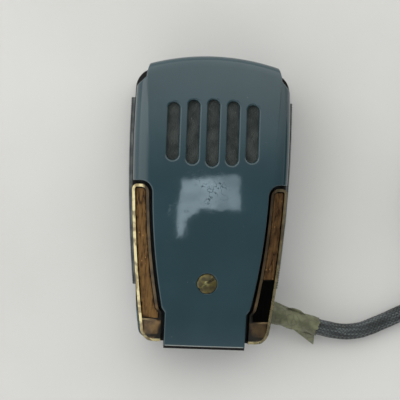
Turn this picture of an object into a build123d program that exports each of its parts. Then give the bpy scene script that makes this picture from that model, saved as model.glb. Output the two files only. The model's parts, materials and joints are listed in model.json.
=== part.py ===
from build123d import *
import math
import os

# A hand microphone that lies on its back. Millimetres; +Z out of the sound face,
# +Y towards the sound end, +X towards the grip strip; the back rests on z = 0.

# Housing outline, seen from the front
case_half_width = 28.6
cover_half_width = 28.2
flank_radius = 476.0
widest_y = 24.0
case_top = 51.7
case_bottom = -51.2
case_corner_radius = 7.5
case_foot_radius = 5.0
top_arc_radius = 82.0
case_wall = 2.2
case_floor = 1.8
split_z = 15.0
back_edge_radius = 3.0

# Front cover
cover_wall = 1.6
crown_z = 30.0
crown_y = 5.0
crown_radius = 230.0
cross_radius = 300.0
flank_roll_radius = 6.0
flank_end_y = 41.5
flank_end_run = 3.4
flank_end_rise = 3.2
trim_bottom = -50.4
cover_corner_radius = 4.6
band_top = 53.2
band_wall = 1.3
band_end_half_width = 23.4
band_shoulder_half_width = 24.3
band_shoulder_y = 46.4
band_crease_half_width = 23.0
band_crease_y = 24.0
band_fade_half_width = 20.0
band_fade_y = 12.0
band_hook_z = 8.0
band_hook_reach = 1.2
band_hook_height = 1.4
band_hook_half_width = 12.0
band_skirt_half_width = 20.0
band_inner_crest = band_top - band_wall
band_roll_radius = 4.0

# Tongue of the front cover
tongue_half_width = 20.95
tongue_widest_y = 12.0
tongue_side_radius = 252.0
tongue_step_y = -38.4
tongue_step_run = 1.6
tongue_end_half_width = 14.7
tongue_end_y = -51.9
pedestal_end_y = -53.2
pedestal_root_y = -46.0
pocket_top = 7.2
pocket_arch_radius = 4.2

# Sound slots: one length for each distance from the middle
slot_pitch = 7.1
slot_width = 4.3
slot_spans = [(37.0, 13.0), (36.6, 13.6), (35.5, 14.8)]

# Gold trim frame
trim_gap = 1.25
arm_rim_z = 22.3
arm_tilt = 25.0
rim_width = 1.0
arm_reach = 0.35
arm_corner_radius = 1.8
channel_depth = 1.2
channel_end_y = -42.4
foot_top_y = -43.1
foot_depth = 1.5
foot_end_y = -49.0
trim_flange_reach = 2.4
trim_flange_thickness = 2.0
bridge_width = 3.6
bridge_reach = 18.0
bridge_y = -42.6
trim_drop = 0.9

# Channel strips
strip_clearance = 0.15
pad_thickness = 0.6
remnant_thickness = 1.1
pad_break_y = -27.4

# Flank bars
bar_low_y = -31.0
bar_high_y = 38.0
bar_mid_z = 8.8
bar_height = 6.4
bar_proud = 1.6
tooth_pitch = 0.92
tooth_depth = 0.42
window_clearance = 0.3
window_end_clearance = 0.5
bar_flange_gap = 0.3
bar_flange_thickness = 1.4
bar_flange_height = 8.4
strip_recess = 0.8
pin_radius = 1.0
pin_clearance = 0.03
hinge_depth = 8.2
hinge_x = hinge_depth - case_half_width
hinge_y = -26.5
hinge_lug_radius = 2.3
pin_boss_height = 2.8

# General clearances
seat_gap = 0.05
running_gap = 0.3

# Sound cartridge
cartridge_y = 25.0
cup_radius = 16.9
cup_wall = 1.0
cup_floor_z = 9.0
cup_floor = 1.4
cup_height = 12.4
cup_step = 1.0
magnet_radius = 6.5
magnet_height = 6.0
pole_radius = 6.0
pole_height = 3.5
top_plate_thickness = 2.4
top_plate_bore = 7.3
voice_coil_radius = 6.35
voice_coil_wall = 0.5
voice_coil_height = 3.0
cap_thickness = 0.8
cap_hole_radius = 1.1
gasket_height = 1.0
gasket_width = 3.0
cushion_radius = 12.0
cushion_bore = 4.0
cradle_wall = 1.4
cradle_height = 11.0
baffle_half_width = 19.0
baffle_half_height = 15.0
baffle_bar = 2.0
baffle_plate = 0.8
baffle_bore = 13.0
cloth_thickness = 0.6

# Cover screw
screw_y = -28.9
screw_head_radius = 3.55
screw_shank_radius = 1.75
screw_length = 13.0
screw_sink = 0.35
screw_crown = 0.7
screw_slot_width = 0.9
screw_slot_depth = 0.7
post_radius = 4.0
thread_clearance = 0.05
head_clearance = 0.12

# Rear screws into the trim frame
rear_screw_x = 17.6
rear_screw_y = -46.4
rear_screw_radius = 1.2
rear_screw_head_radius = 2.3
rear_screw_reach = 4.0
rear_boss_radius = 2.8
rear_head_sink = 0.4

# Switch
plunger_y = 8.0
plunger_radius = 1.5
plunger_collar_radius = 2.2
plunger_collar = 0.8
blade_thickness = 0.35
blade_width = 5.0
blade_low_y = -8.0
blade_high_y = 10.0
moving_blade_depth = 10.2
blade_pitch = 1.6
moving_blade_x = moving_blade_depth - case_half_width
fixed_blade_x = moving_blade_x + blade_pitch
stack_high_y = -3.0
stack_screw_radius = 0.8
stack_screw_pitch = 2.8
insulator_thickness = 1.15
contact_radius = 0.9
contact_rise = 0.375
bracket_sheet = 1.0
guide_depth = 6.5
guide_x = guide_depth - case_half_width
guide_half_width = 3.4
guide_top_z = 12.2
spring_radius = 1.9
spring_wire = 0.25
spring_turns = 5
spring_y = 27.0

# Terminal board and transformer
board_depth = 20.6
board_x = board_depth - case_half_width
board_y = -13.0
board_width = 10.0
board_length = 20.0
board_thickness = 1.5
board_post_offset = 7.0
board_post_height = 3.6
board_post_radius = 2.4
board_screw_radius = 0.9
lug_radius = 0.8
lug_height = 4.0
lug_pitch_x = 6.0
lug_pitch_y = 7.0
core_x = 10.0
core_y = -7.0
core_width = 20.0
core_length = 17.0
core_stack = 5.0
core_limb = 2.6
core_leg = 5.0
winding_wall = 3.3

# Cord gland and clamp
gland_tail = 1.6
gland_flange_radius = 5.0
gland_body_radius = 4.15
gland_flange_thickness = 1.5
gland_seat_outer = 3.15
gland_seat_inner = 6.0
gland_inner_tail = 9.0
gland_tail_radius = 3.4
gland_bore_radius = 2.0
gland_boss_radius = 6.5
clamp_distance = -12.5
clamp_width = 4.0
clamp_wall = 1.0
clamp_foot = 5.2
clamp_foot_height = 1.6
clamp_boss_height = 1.6
clamp_screw_radius = 1.0
lead_radius = 0.55

clamp_side = gland_tail_radius + seat_gap + clamp_wall

# Cord
cord_diameter = 6.1
cord_radius = cord_diameter / 2
tape_length = 12.5
tape_thickness = 0.8
tape_gap = 0.15
coil_centre = (117.0, 5.6)
coil_turn_radii = (26.9, 39.1)
coil_layer_rise = 5.28

# Quarter-inch plug
handle_radius = 6.6
handle_length = 31.0
handle_neck_radius = 4.2
plug_pin_radius = 3.175
sleeve_length = 20.0
collar_length = 1.4
collar_radius = 4.8
insulator_length = 1.2
insulator_step = 0.3
tip_neck_radius = 2.3
tip_length = 8.6

# Route of the lead, from the gland to the coil, and from the coil to the plug
lead_depth = 2.1
lead_route = [
    (case_half_width - lead_depth, -40.4, 6.6),
    (41.5, -45.0, 5.5),
    (56.6, -47.7, 3.3),
    (68.7, -42.5, cord_radius),
    (79.6, -36.9, cord_radius),
    (91.0, -33.9, cord_radius),
    (102.0, -33.3, cord_radius),
]
tail_route = [
    (112.9, -33.7, 9.0),
    (123.0, -37.0, 7.4),
    (134.5, -37.6, 4.4),
    (145.6, -33.7, cord_radius),
    (155.3, -26.5, cord_radius),
    (162.1, -17.4, 3.4),
    (166.0, -6.6, 5.0),
    (167.2, 4.4, 6.6),
]


def flank_x(half_width, y):
    """Half width of a flank whose long arc is widest at widest_y."""
    centre = half_width - flank_radius
    return centre + math.sqrt(flank_radius**2 - (y - widest_y) ** 2)


def tongue_x(y, gap=0.0):
    """Half width of the tongue, grown by gap."""
    radius = tongue_side_radius + gap
    centre = tongue_half_width - tongue_side_radius
    return centre + math.sqrt(radius**2 - (y - tongue_widest_y) ** 2)


def cap_rise(radius, rise, x):
    """Height of a shallow round cap above its rim, at x from its middle."""
    sphere = (radius**2 + rise**2) / (2 * rise)
    return rise - sphere + math.sqrt(sphere**2 - x**2)


def arc_y(crest, x):
    """Height of a top arc with its crest on the middle line."""
    return crest - top_arc_radius + math.sqrt(top_arc_radius**2 - x**2)


def crown_at(y):
    """Height of the face's middle line."""
    return crown_z - crown_radius + math.sqrt(crown_radius**2 - (y - crown_y) ** 2)


def corner_y(half_width, crest):
    """Where a flank arc meets a top arc."""
    y = crest
    for _ in range(12):
        y = arc_y(crest, flank_x(half_width, y))
    return y


def case_outline(inset):
    """Outline of the rear case, moved inward by inset."""
    half_width = case_half_width - inset
    crest = case_top - inset
    bottom = case_bottom + inset
    top_y = corner_y(half_width, crest)
    top_x = flank_x(half_width, top_y)
    low_x = flank_x(half_width, bottom)
    mid_x = flank_x(half_width, 0)
    with BuildSketch() as outline:
        with BuildLine():
            Line((-low_x, bottom), (low_x, bottom))
            ThreePointArc((low_x, bottom), (mid_x, 0), (top_x, top_y))
            ThreePointArc((top_x, top_y), (0, crest), (-top_x, top_y))
            ThreePointArc((-top_x, top_y), (-mid_x, 0), (-low_x, bottom))
        make_face()
        fillet(outline.vertices().group_by(Axis.Y)[-1], case_corner_radius - inset)
        fillet(outline.vertices().group_by(Axis.Y)[0], case_foot_radius - inset)
    return outline.sketch


def cover_outline(inset, bottom, corner_radius=0.0):
    """Outline of the front cover's flanks, with its slanted top corners."""
    half_width = cover_half_width - inset
    end_y = flank_end_y - inset * 0.4
    end_x = flank_x(half_width, end_y)
    slant_x = end_x - flank_end_run
    slant_y = end_y + flank_end_rise
    shoulder_y = case_top - inset - 1.0
    low_x = flank_x(half_width, bottom)
    mid_x = flank_x(half_width, 0)
    shoulder_x = band_end_half_width - inset
    with BuildSketch() as outline:
        with BuildLine():
            Line((-low_x, bottom), (low_x, bottom))
            ThreePointArc((low_x, bottom), (mid_x, 0), (end_x, end_y))
            Polyline((end_x, end_y), (slant_x, slant_y), (shoulder_x, shoulder_y))
            Line((shoulder_x, shoulder_y), (-shoulder_x, shoulder_y))
            Polyline((-shoulder_x, shoulder_y), (-slant_x, slant_y), (-end_x, end_y))
            ThreePointArc((-end_x, end_y), (-mid_x, 0), (-low_x, bottom))
        make_face()
        if corner_radius > 0:
            fillet(outline.vertices().group_by(Axis.Y)[0], corner_radius)
    return outline.sketch


def arm_pocket(gap):
    """Both corners beside the tongue, shrunk by gap all round."""
    top = pocket_top - gap
    step_x = tongue_x(tongue_step_y, gap)
    end_x = tongue_end_half_width + gap
    far = 60.0
    with BuildSketch() as pocket:
        with BuildLine():
            Line((far, top), (tongue_x(top, gap), top))
            mid_y = (top + tongue_step_y) / 2
            ThreePointArc((tongue_x(top, gap), top), (tongue_x(mid_y, gap), mid_y), (step_x, tongue_step_y))
            Polyline((step_x, tongue_step_y), (end_x, tongue_step_y - tongue_step_run), (end_x, -far))
            Polyline((end_x, -far), (far, -far), (far, top))
        make_face()
        arch_corner = pocket.vertices().filter_by_position(Axis.Y, top - 0.1, top + 0.1).sort_by(Axis.X)[0]
        fillet(arch_corner, pocket_arch_radius - gap)
        mirror(about=Plane.YZ)
    return pocket.sketch


def dome(drop):
    """Everything below the crowned face, lowered by drop."""
    reach = 60.0
    with BuildPart() as crowned:
        with BuildSketch(Plane.YZ):
            with BuildLine():
                low_end = (-reach, crown_at(-reach) - drop)
                high_end = (reach, crown_at(reach) - drop)
                Polyline(low_end, (-reach, 0), (reach, 0), high_end)
                ThreePointArc(low_end, (crown_y, crown_z - drop), high_end)
            make_face()
        cross_axis = Axis((0, 0, crown_z - cross_radius), (0, 1, 0))
        revolve(axis=cross_axis, revolution_arc=9)
        mirror(about=Plane.YZ)
    return crowned.part


def roll_edges(part, drop):
    """Long upper edges of both flanks, where the face rolls over."""
    low_z = crown_z - drop - flank_roll_radius
    long_edges = part.edges().filter_by(lambda edge: edge.length > case_top)
    side_edges = long_edges.filter_by(lambda edge: abs(edge.center().X) > flank_roll_radius)
    return side_edges.filter_by(lambda edge: edge.center().Z > low_z)


def flank_body(inset, drop, bottom):
    """Solid flanks and face of the front cover, inset and lowered."""
    with BuildPart() as flanks:
        with BuildSketch(Plane.XY.offset(split_z)):
            add(cover_outline(inset, bottom))
        extrude(amount=crown_z - split_z + 1)
        add(dome(drop), mode=Mode.INTERSECT)
        fillet(roll_edges(flanks, drop), flank_roll_radius - inset)
    return flanks.part


def band_body(inset, drop, low_z):
    """Solid of the central band that wraps over the sound end."""
    crest = band_top - inset
    end_half = band_end_half_width - inset
    shoulder_half = band_shoulder_half_width - inset
    crease_half = band_crease_half_width - inset
    fade_half = band_fade_half_width - inset
    with BuildPart() as band:
        with BuildSketch(Plane.XY.offset(low_z)):
            with BuildLine():
                corner = (end_half, arc_y(crest, end_half))
                ThreePointArc(corner, (0, crest), (-corner[0], corner[1]))
                side = [
                    corner,
                    (shoulder_half, band_shoulder_y),
                    (crease_half, band_crease_y),
                    (fade_half, band_fade_y),
                ]
                Polyline(*side)
                Line(side[-1], (-fade_half, band_fade_y))
                Polyline(*[(-x, y) for x, y in side])
            make_face()
        extrude(amount=crown_z - low_z + 1)
        add(dome(drop), mode=Mode.INTERSECT)
        top_edges = band.faces().sort_by(Axis.Z)[-1].edges()
        fillet(top_edges.sort_by(Axis.Y)[-1], band_roll_radius - inset)
    return band.part


def end_band(outer_crest, inner_crest, half_width):
    """Plan of a curved strip along the sound end, between two top arcs."""
    with BuildSketch() as plan:
        with BuildLine():
            ThreePointArc(
                (half_width, arc_y(outer_crest, half_width)), (0, outer_crest),
                (-half_width, arc_y(outer_crest, half_width)),
            )
            Line((-half_width, arc_y(outer_crest, half_width)), (-half_width, arc_y(inner_crest, half_width)))
            ThreePointArc(
                (-half_width, arc_y(inner_crest, half_width)), (0, inner_crest),
                (half_width, arc_y(inner_crest, half_width)),
            )
            Line((half_width, arc_y(inner_crest, half_width)), (half_width, arc_y(outer_crest, half_width)))
        make_face()
    return plan.sketch


def sound_slots(margin):
    """Plan of the five slots, grown by margin."""
    with BuildSketch() as slots:
        count = 2 * len(slot_spans) - 1
        for index in range(count):
            step = index - (len(slot_spans) - 1)
            high, low = slot_spans[abs(step)]
            width = slot_width + 2 * margin
            with Locations((step * slot_pitch, (high + low) / 2)):
                SlotOverall(high - low + 2 * margin, width, rotation=90)
    return slots.sketch


def make_front_cover():
    with BuildPart() as front_cover:
        add(flank_body(0, 0, tongue_end_y))
        add(band_body(0, 0, split_z))
        add(flank_body(cover_wall, cover_wall, pedestal_end_y), mode=Mode.SUBTRACT)
        add(band_body(band_wall, cover_wall, split_z), mode=Mode.SUBTRACT)
        # Skirt of the band down the case's end, and the hook that catches the case
        with BuildSketch(Plane.XY.offset(band_hook_z)):
            add(end_band(band_top, band_inner_crest, band_skirt_half_width))
        extrude(amount=split_z - band_hook_z)
        with BuildSketch(Plane.XY.offset(band_hook_z)):
            add(end_band(band_top - band_wall / 2, band_inner_crest - band_hook_reach, band_hook_half_width))
        extrude(amount=band_hook_height)
        # Corner pockets that the trim frame fills
        with BuildSketch(Plane.XY.offset(split_z)):
            add(arm_pocket(0))
        extrude(amount=crown_z, mode=Mode.SUBTRACT)
        # Sound slots
        with BuildSketch(Plane.XY.offset(split_z)):
            add(sound_slots(0))
        extrude(amount=crown_z, mode=Mode.SUBTRACT)
        # Sink for the cover screw
        sink_z = crown_at(screw_y) - screw_sink
        mouth_radius = screw_head_radius + head_clearance
        hole_radius = screw_shank_radius + head_clearance
        with BuildSketch(Plane.XZ.offset(-screw_y)):
            with BuildLine():
                Polyline(
                    (0, crown_z), (mouth_radius, crown_z), (mouth_radius, sink_z),
                    (hole_radius, sink_z - mouth_radius + hole_radius), (hole_radius, split_z), (0, split_z),
                    close=True,
                )
            make_face()
        revolve(axis=Axis((0, screw_y, 0), (0, 0, 1)), mode=Mode.SUBTRACT)
    return front_cover.part


def arm_plane(drop):
    """Sloping top of the right arm, lowered by drop along its normal."""
    top = Vector(flank_x(cover_half_width, pocket_top), pocket_top, arm_rim_z)
    low = Vector(flank_x(cover_half_width, bridge_y), bridge_y, arm_rim_z)
    along = (top - low).normalized()
    outward = Vector(along.Y, -along.X, 0)
    tilt = math.radians(arm_tilt)
    normal = outward * math.sin(tilt) + Vector(0, 0, math.cos(tilt))
    return Plane(origin=top - normal * drop, x_dir=along, z_dir=normal)


def arm_prism(gap, inset, low_z, low_y, high_y):
    """Upright prism over the right arm between two heights along it."""
    with BuildPart() as prism:
        with BuildSketch(Plane.XY.offset(low_z)) as plan:
            add(cover_outline(inset, trim_bottom + inset, cover_corner_radius - inset))
            add(arm_pocket(gap), mode=Mode.INTERSECT)
            with Locations((case_half_width / 2, (low_y + high_y) / 2)):
                Rectangle(case_half_width, high_y - low_y, mode=Mode.INTERSECT)
            if high_y >= pocket_top:
                top_corner = plan.vertices().group_by(Axis.Y)[-1].sort_by(Axis.X)[-1]
                fillet(top_corner, arm_corner_radius - (gap - trim_gap))
        extrude(amount=crown_z - low_z)
    return prism.part


def sloped_slice(gap, inset, low_y, high_y, low_drop, high_drop):
    """Part of the right arm that lies between two depths under its sloping top."""
    with BuildPart() as piece:
        add(arm_prism(gap, inset, split_z, low_y, high_y))
        split(bisect_by=arm_plane(high_drop), keep=Keep.BOTTOM)
        split(bisect_by=arm_plane(low_drop), keep=Keep.TOP)
    return piece.part


def make_trim_frame():
    reach = 60.0
    inner_inset = rim_width - arm_reach
    with BuildPart() as trim_frame:
        add(arm_prism(trim_gap, -arm_reach, split_z, -reach, reach))
        split(bisect_by=arm_plane(0), keep=Keep.BOTTOM)
        # Channel for the insert strip
        channel = arm_prism(trim_gap + rim_width, inner_inset, split_z, channel_end_y, pocket_top)
        floor_slice = split(channel, bisect_by=arm_plane(channel_depth), keep=Keep.TOP, mode=Mode.PRIVATE)
        add(floor_slice, mode=Mode.SUBTRACT)
        # Recess of the corner foot
        foot = arm_prism(trim_gap + rim_width, inner_inset, split_z, foot_end_y, foot_top_y)
        foot_slice = split(foot, bisect_by=arm_plane(foot_depth), keep=Keep.TOP, mode=Mode.PRIVATE)
        add(foot_slice, mode=Mode.SUBTRACT)
        # Flange under the cover's edges
        with BuildSketch(Plane.XY.offset(split_z)):
            add(cover_outline(cover_wall + running_gap, trim_bottom + cover_wall, 1.5))
            add(arm_pocket(-trim_flange_reach), mode=Mode.INTERSECT)
            with Locations((case_half_width / 2, 0)):
                Rectangle(case_half_width, 2 * reach, mode=Mode.INTERSECT)
        extrude(amount=trim_flange_thickness)
        # Half of the bridge under the tongue
        with BuildSketch(Plane.XY.offset(split_z)):
            with Locations((bridge_reach / 2, bridge_y)):
                Rectangle(bridge_reach, bridge_width)
        extrude(amount=trim_flange_thickness)
        # Clear of the pedestal that carries the tongue
        with BuildSketch(Plane.XY.offset(split_z)):
            with Locations((0, (pedestal_end_y + pedestal_root_y) / 2)):
                Rectangle(2 * (tongue_end_half_width + 0.2), pedestal_root_y - pedestal_end_y + 0.6)
        extrude(amount=crown_z, mode=Mode.SUBTRACT)
        with Locations((rear_screw_x, rear_screw_y, split_z)):
            Hole(rear_screw_radius + thread_clearance, depth=rear_screw_reach + 0.4)
        mirror(about=Plane.YZ)
        add(dome(trim_drop), mode=Mode.INTERSECT)
    return trim_frame.part


def arm_strip(low_y, high_y, thickness):
    """Strip that lies in the right arm's channel."""
    gap = trim_gap + rim_width + strip_clearance
    inset = rim_width - arm_reach + strip_clearance
    bottom = channel_depth - seat_gap
    return sloped_slice(gap, inset, low_y, high_y, bottom, bottom - thickness)


def make_left_channel_pad():
    with BuildPart() as left_channel_pad:
        strip = arm_strip(channel_end_y + strip_clearance, pocket_top, pad_thickness)
        add(mirror(strip, about=Plane.YZ, mode=Mode.PRIVATE))
    return left_channel_pad.part


def make_right_channel_pad():
    return arm_strip(pad_break_y + strip_clearance, pocket_top, pad_thickness)


def make_right_insert_remnant():
    return arm_strip(channel_end_y + strip_clearance, pad_break_y - strip_clearance, remnant_thickness)


def make_cover_screw():
    sink_z = crown_at(screw_y) - screw_sink
    head_height = screw_head_radius - screw_shank_radius
    with BuildPart() as cover_screw:
        with BuildSketch(Plane.XZ.offset(-screw_y)):
            with BuildLine():
                Polyline(
                    (0, sink_z + screw_crown),
                    (0, sink_z - screw_length),
                    (screw_shank_radius - 0.4, sink_z - screw_length),
                    (screw_shank_radius, sink_z - screw_length + 0.8),
                    (screw_shank_radius, sink_z - head_height),
                    (screw_head_radius, sink_z),
                    (screw_head_radius, sink_z + 0.1),
                )
                mid_x = screw_head_radius / 2
                mid_z = cap_rise(screw_head_radius, screw_crown - 0.1, mid_x)
                rim_z = sink_z + 0.1
                ThreePointArc((screw_head_radius, rim_z), (mid_x, rim_z + mid_z), (0, sink_z + screw_crown))
            make_face()
        revolve(axis=Axis((0, screw_y, 0), (0, 0, 1)))
        with BuildSketch(Plane.XY.offset(sink_z + screw_crown)):
            with Locations((0, screw_y)):
                Rectangle(3 * screw_head_radius, screw_slot_width, rotation=35)
        extrude(amount=-screw_slot_depth - 0.3, mode=Mode.SUBTRACT)
    return cover_screw.part


def shell_slice(half_width, half_height, centre_y, high_drop, low_drop, corner):
    """Curved plate that follows the inside of the face."""
    with BuildPart() as plate:
        with BuildSketch(Plane.XY.offset(split_z)):
            with Locations((0, centre_y)):
                RectangleRounded(2 * half_width, 2 * half_height, corner)
        extrude(amount=crown_z)
        add(dome(high_drop), mode=Mode.INTERSECT)
        add(dome(low_drop), mode=Mode.SUBTRACT)
    return plate.part


def make_grille_cloth():
    top_drop = cover_wall + seat_gap
    half_width = baffle_half_width - 0.4
    half_height = baffle_half_height - 0.4
    return shell_slice(half_width, half_height, cartridge_y, top_drop, top_drop + cloth_thickness, 2.0)


def baffle_floor_z():
    """Flat underside of the baffle frame."""
    return cup_floor_z + cup_height + seat_gap + 0.6 + cap_thickness + gasket_height + 2 * seat_gap


def make_baffle_frame():
    top_drop = cover_wall + cloth_thickness + 2 * seat_gap
    floor_z = baffle_floor_z()
    with BuildPart() as baffle_frame:
        with BuildSketch(Plane.XY.offset(floor_z)):
            with Locations((0, cartridge_y)):
                RectangleRounded(2 * baffle_half_width, 2 * baffle_half_height, 2.0)
        extrude(amount=crown_z)
        add(dome(top_drop), mode=Mode.INTERSECT)
        with BuildSketch(Plane.XY.offset(floor_z + baffle_plate)):
            with Locations((0, cartridge_y)):
                window_width = 2 * (baffle_half_width - baffle_bar)
                window_height = 2 * (baffle_half_height - baffle_bar)
                RectangleRounded(window_width, window_height, 1.5)
        extrude(amount=crown_z, mode=Mode.SUBTRACT)
        with BuildSketch(Plane.XY.offset(floor_z)):
            with Locations((0, cartridge_y)):
                Circle(baffle_bore)
        extrude(amount=crown_z, mode=Mode.SUBTRACT)
    return baffle_frame.part


def ring(outer, inner, low_z, height):
    """Plain ring or disc about the cartridge's axis."""
    with BuildPart() as turned:
        with BuildSketch(Plane.XY.offset(low_z)):
            with Locations((0, cartridge_y)):
                Circle(outer)
                if inner > 0:
                    Circle(inner, mode=Mode.SUBTRACT)
        extrude(amount=height)
    return turned.part


cup_top_z = cup_floor_z + cup_height
cup_bore = cup_radius - cup_wall
plate_top_z = cup_floor_z + cup_floor + seat_gap + magnet_height + seat_gap + pole_height
plate_low_z = plate_top_z - top_plate_thickness


def make_cartridge_cup():
    with BuildPart() as cartridge_cup:
        add(ring(cup_radius, 0, cup_floor_z, cup_height))
        bore_height = cup_height - cup_floor
        add(ring(cup_bore - cup_step, 0, cup_floor_z + cup_floor, bore_height), mode=Mode.SUBTRACT)
        add(ring(cup_bore, 0, plate_low_z - seat_gap, cup_height), mode=Mode.SUBTRACT)
    return cartridge_cup.part


def make_diaphragm():
    film = 0.2
    rim_band = 1.2
    rim_radius = cup_bore - 0.1
    rim_low = plate_top_z + seat_gap
    rim_high = cup_top_z - 0.3
    dome_radius = voice_coil_radius + voice_coil_wall + 0.2
    dome_rise = 0.7
    mid_x = dome_radius / 2
    mid_z = rim_high + cap_rise(dome_radius, dome_rise, mid_x)
    with BuildPart() as diaphragm:
        with BuildSketch(Plane.XZ.offset(-cartridge_y)):
            with BuildLine():
                Polyline(
                    (rim_radius, rim_low), (rim_radius, rim_high), (dome_radius, rim_high)
                )
                ThreePointArc((dome_radius, rim_high), (mid_x, mid_z), (0, rim_high + dome_rise))
                Line((0, rim_high + dome_rise), (0, rim_high + dome_rise - film))
                ThreePointArc(
                    (0, rim_high + dome_rise - film), (mid_x, mid_z - film), (dome_radius, rim_high - film)
                )
                Polyline(
                    (dome_radius, rim_high - film), (rim_radius - rim_band, rim_high - film),
                    (rim_radius - rim_band, rim_low), (rim_radius, rim_low),
                )
            make_face()
        revolve(axis=Axis((0, cartridge_y, 0), (0, 0, 1)))
    return diaphragm.part


def make_cartridge_cap():
    low_z = cup_top_z + seat_gap
    with BuildPart() as cartridge_cap:
        add(ring(cup_radius, cup_bore, low_z, 0.6))
        add(ring(cup_radius, 0, low_z + 0.6, cap_thickness))
        with BuildSketch(Plane.XY.offset(low_z)):
            with Locations((0, cartridge_y)):
                Circle(cap_hole_radius)
                with PolarLocations(4.6, 6):
                    Circle(cap_hole_radius)
                with PolarLocations(9.2, 12):
                    Circle(cap_hole_radius)
        extrude(amount=2, mode=Mode.SUBTRACT)
    return cartridge_cap.part


def bar_arc(offset, y):
    """Point on the left flank, offset outward from the case."""
    return (-flank_x(case_half_width + offset, y), y)


def toothed_bar(inner_offset):
    """Plan of a serrated bar on the left flank, from inner_offset out to its teeth."""
    teeth = int((bar_high_y - bar_low_y) / tooth_pitch)
    pitch = (bar_high_y - bar_low_y) / teeth
    outer = []
    for index in range(teeth):
        y = bar_low_y + index * pitch
        outer.append(bar_arc(bar_proud - tooth_depth, y))
        outer.append(bar_arc(bar_proud, y + 0.32 * pitch))
        outer.append(bar_arc(bar_proud, y + 0.68 * pitch))
    outer.append(bar_arc(bar_proud - tooth_depth, bar_high_y))
    mid_y = (bar_low_y + bar_high_y) / 2
    inner_low = bar_arc(inner_offset, bar_low_y)
    inner_high = bar_arc(inner_offset, bar_high_y)
    with BuildSketch() as plan:
        with BuildLine():
            Polyline(*outer)
            Line(outer[-1], inner_high)
            ThreePointArc(inner_high, bar_arc(inner_offset, mid_y), inner_low)
            Line(inner_low, outer[0])
        make_face()
    return plan.sketch


def flank_band(outer_offset, inner_offset, low_y, high_y):
    """Plan of a plain band that follows the left flank."""
    mid_y = (low_y + high_y) / 2
    with BuildSketch() as plan:
        with BuildLine():
            outer = [bar_arc(outer_offset, y) for y in (low_y, mid_y, high_y)]
            inner = [bar_arc(inner_offset, y) for y in (high_y, mid_y, low_y)]
            ThreePointArc(*outer)
            Line(outer[-1], inner[0])
            ThreePointArc(*inner)
            Line(inner[-1], outer[0])
        make_face()
    return plan.sketch


bar_low_z = bar_mid_z - bar_height / 2
flange_outer = -case_wall - bar_flange_gap
flange_inner = flange_outer - bar_flange_thickness


def make_talk_bar():
    flange_low_z = bar_mid_z - bar_flange_height / 2
    with BuildPart() as talk_bar:
        with BuildSketch(Plane.XY.offset(bar_low_z)):
            add(toothed_bar(flange_outer - 0.2))
        extrude(amount=bar_height)
        # Flange that keeps the bar from falling out of its window
        with BuildSketch(Plane.XY.offset(flange_low_z)):
            add(flank_band(flange_outer, flange_inner, bar_low_y, bar_high_y - 1.0))
        extrude(amount=bar_flange_height)
        # Pivot lug
        with BuildSketch(Plane.XY.offset(bar_low_z)):
            with Locations((hinge_x, hinge_y)):
                Circle(hinge_lug_radius)
            with Locations((hinge_x - hinge_lug_radius / 2, hinge_y)):
                Rectangle(hinge_lug_radius, 2 * hinge_lug_radius)
        extrude(amount=bar_height)
        with BuildSketch(Plane.XY.offset(bar_low_z)):
            with Locations((hinge_x, hinge_y)):
                Circle(pin_radius + pin_clearance)
        extrude(amount=bar_height, mode=Mode.SUBTRACT)
    return talk_bar.part


def make_grip_strip():
    with BuildPart() as grip_strip:
        with BuildSketch(Plane.XY.offset(bar_low_z)):
            add(toothed_bar(seat_gap - strip_recess))
            mirror(about=Plane.YZ)
            with Locations((-case_half_width, 0)):
                Rectangle(2 * case_half_width, 4 * case_half_width, mode=Mode.SUBTRACT)
        extrude(amount=bar_height)
    return grip_strip.part


def make_hinge_pin():
    with BuildPart() as hinge_pin:
        with BuildSketch(Plane.XY.offset(case_floor + 0.5)):
            with Locations((hinge_x, hinge_y)):
                Circle(pin_radius)
        extrude(amount=bar_low_z + bar_height + 0.8 - case_floor - 0.5)
    return hinge_pin.part


cord_start = Vector(*lead_route[0])
gland_axis = (Vector(lead_route[1][0], lead_route[1][1], lead_route[0][2]) - cord_start).normalized()


def gland_plane(distance):
    """Plane across the gland's axis; distance is measured outward from its outer end."""
    return Plane(origin=cord_start + gland_axis * distance, x_dir=(0, 0, 1), z_dir=gland_axis)


def clamp_screw_point():
    """Where the clamp's screw stands on the case floor."""
    plane = gland_plane(clamp_distance)
    point = plane.from_local_coords((0, -clamp_side - clamp_foot / 2, 0))
    return (point.X, point.Y)


board_posts = [(board_x, board_y + board_post_offset), (board_x, board_y - board_post_offset)]


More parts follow.
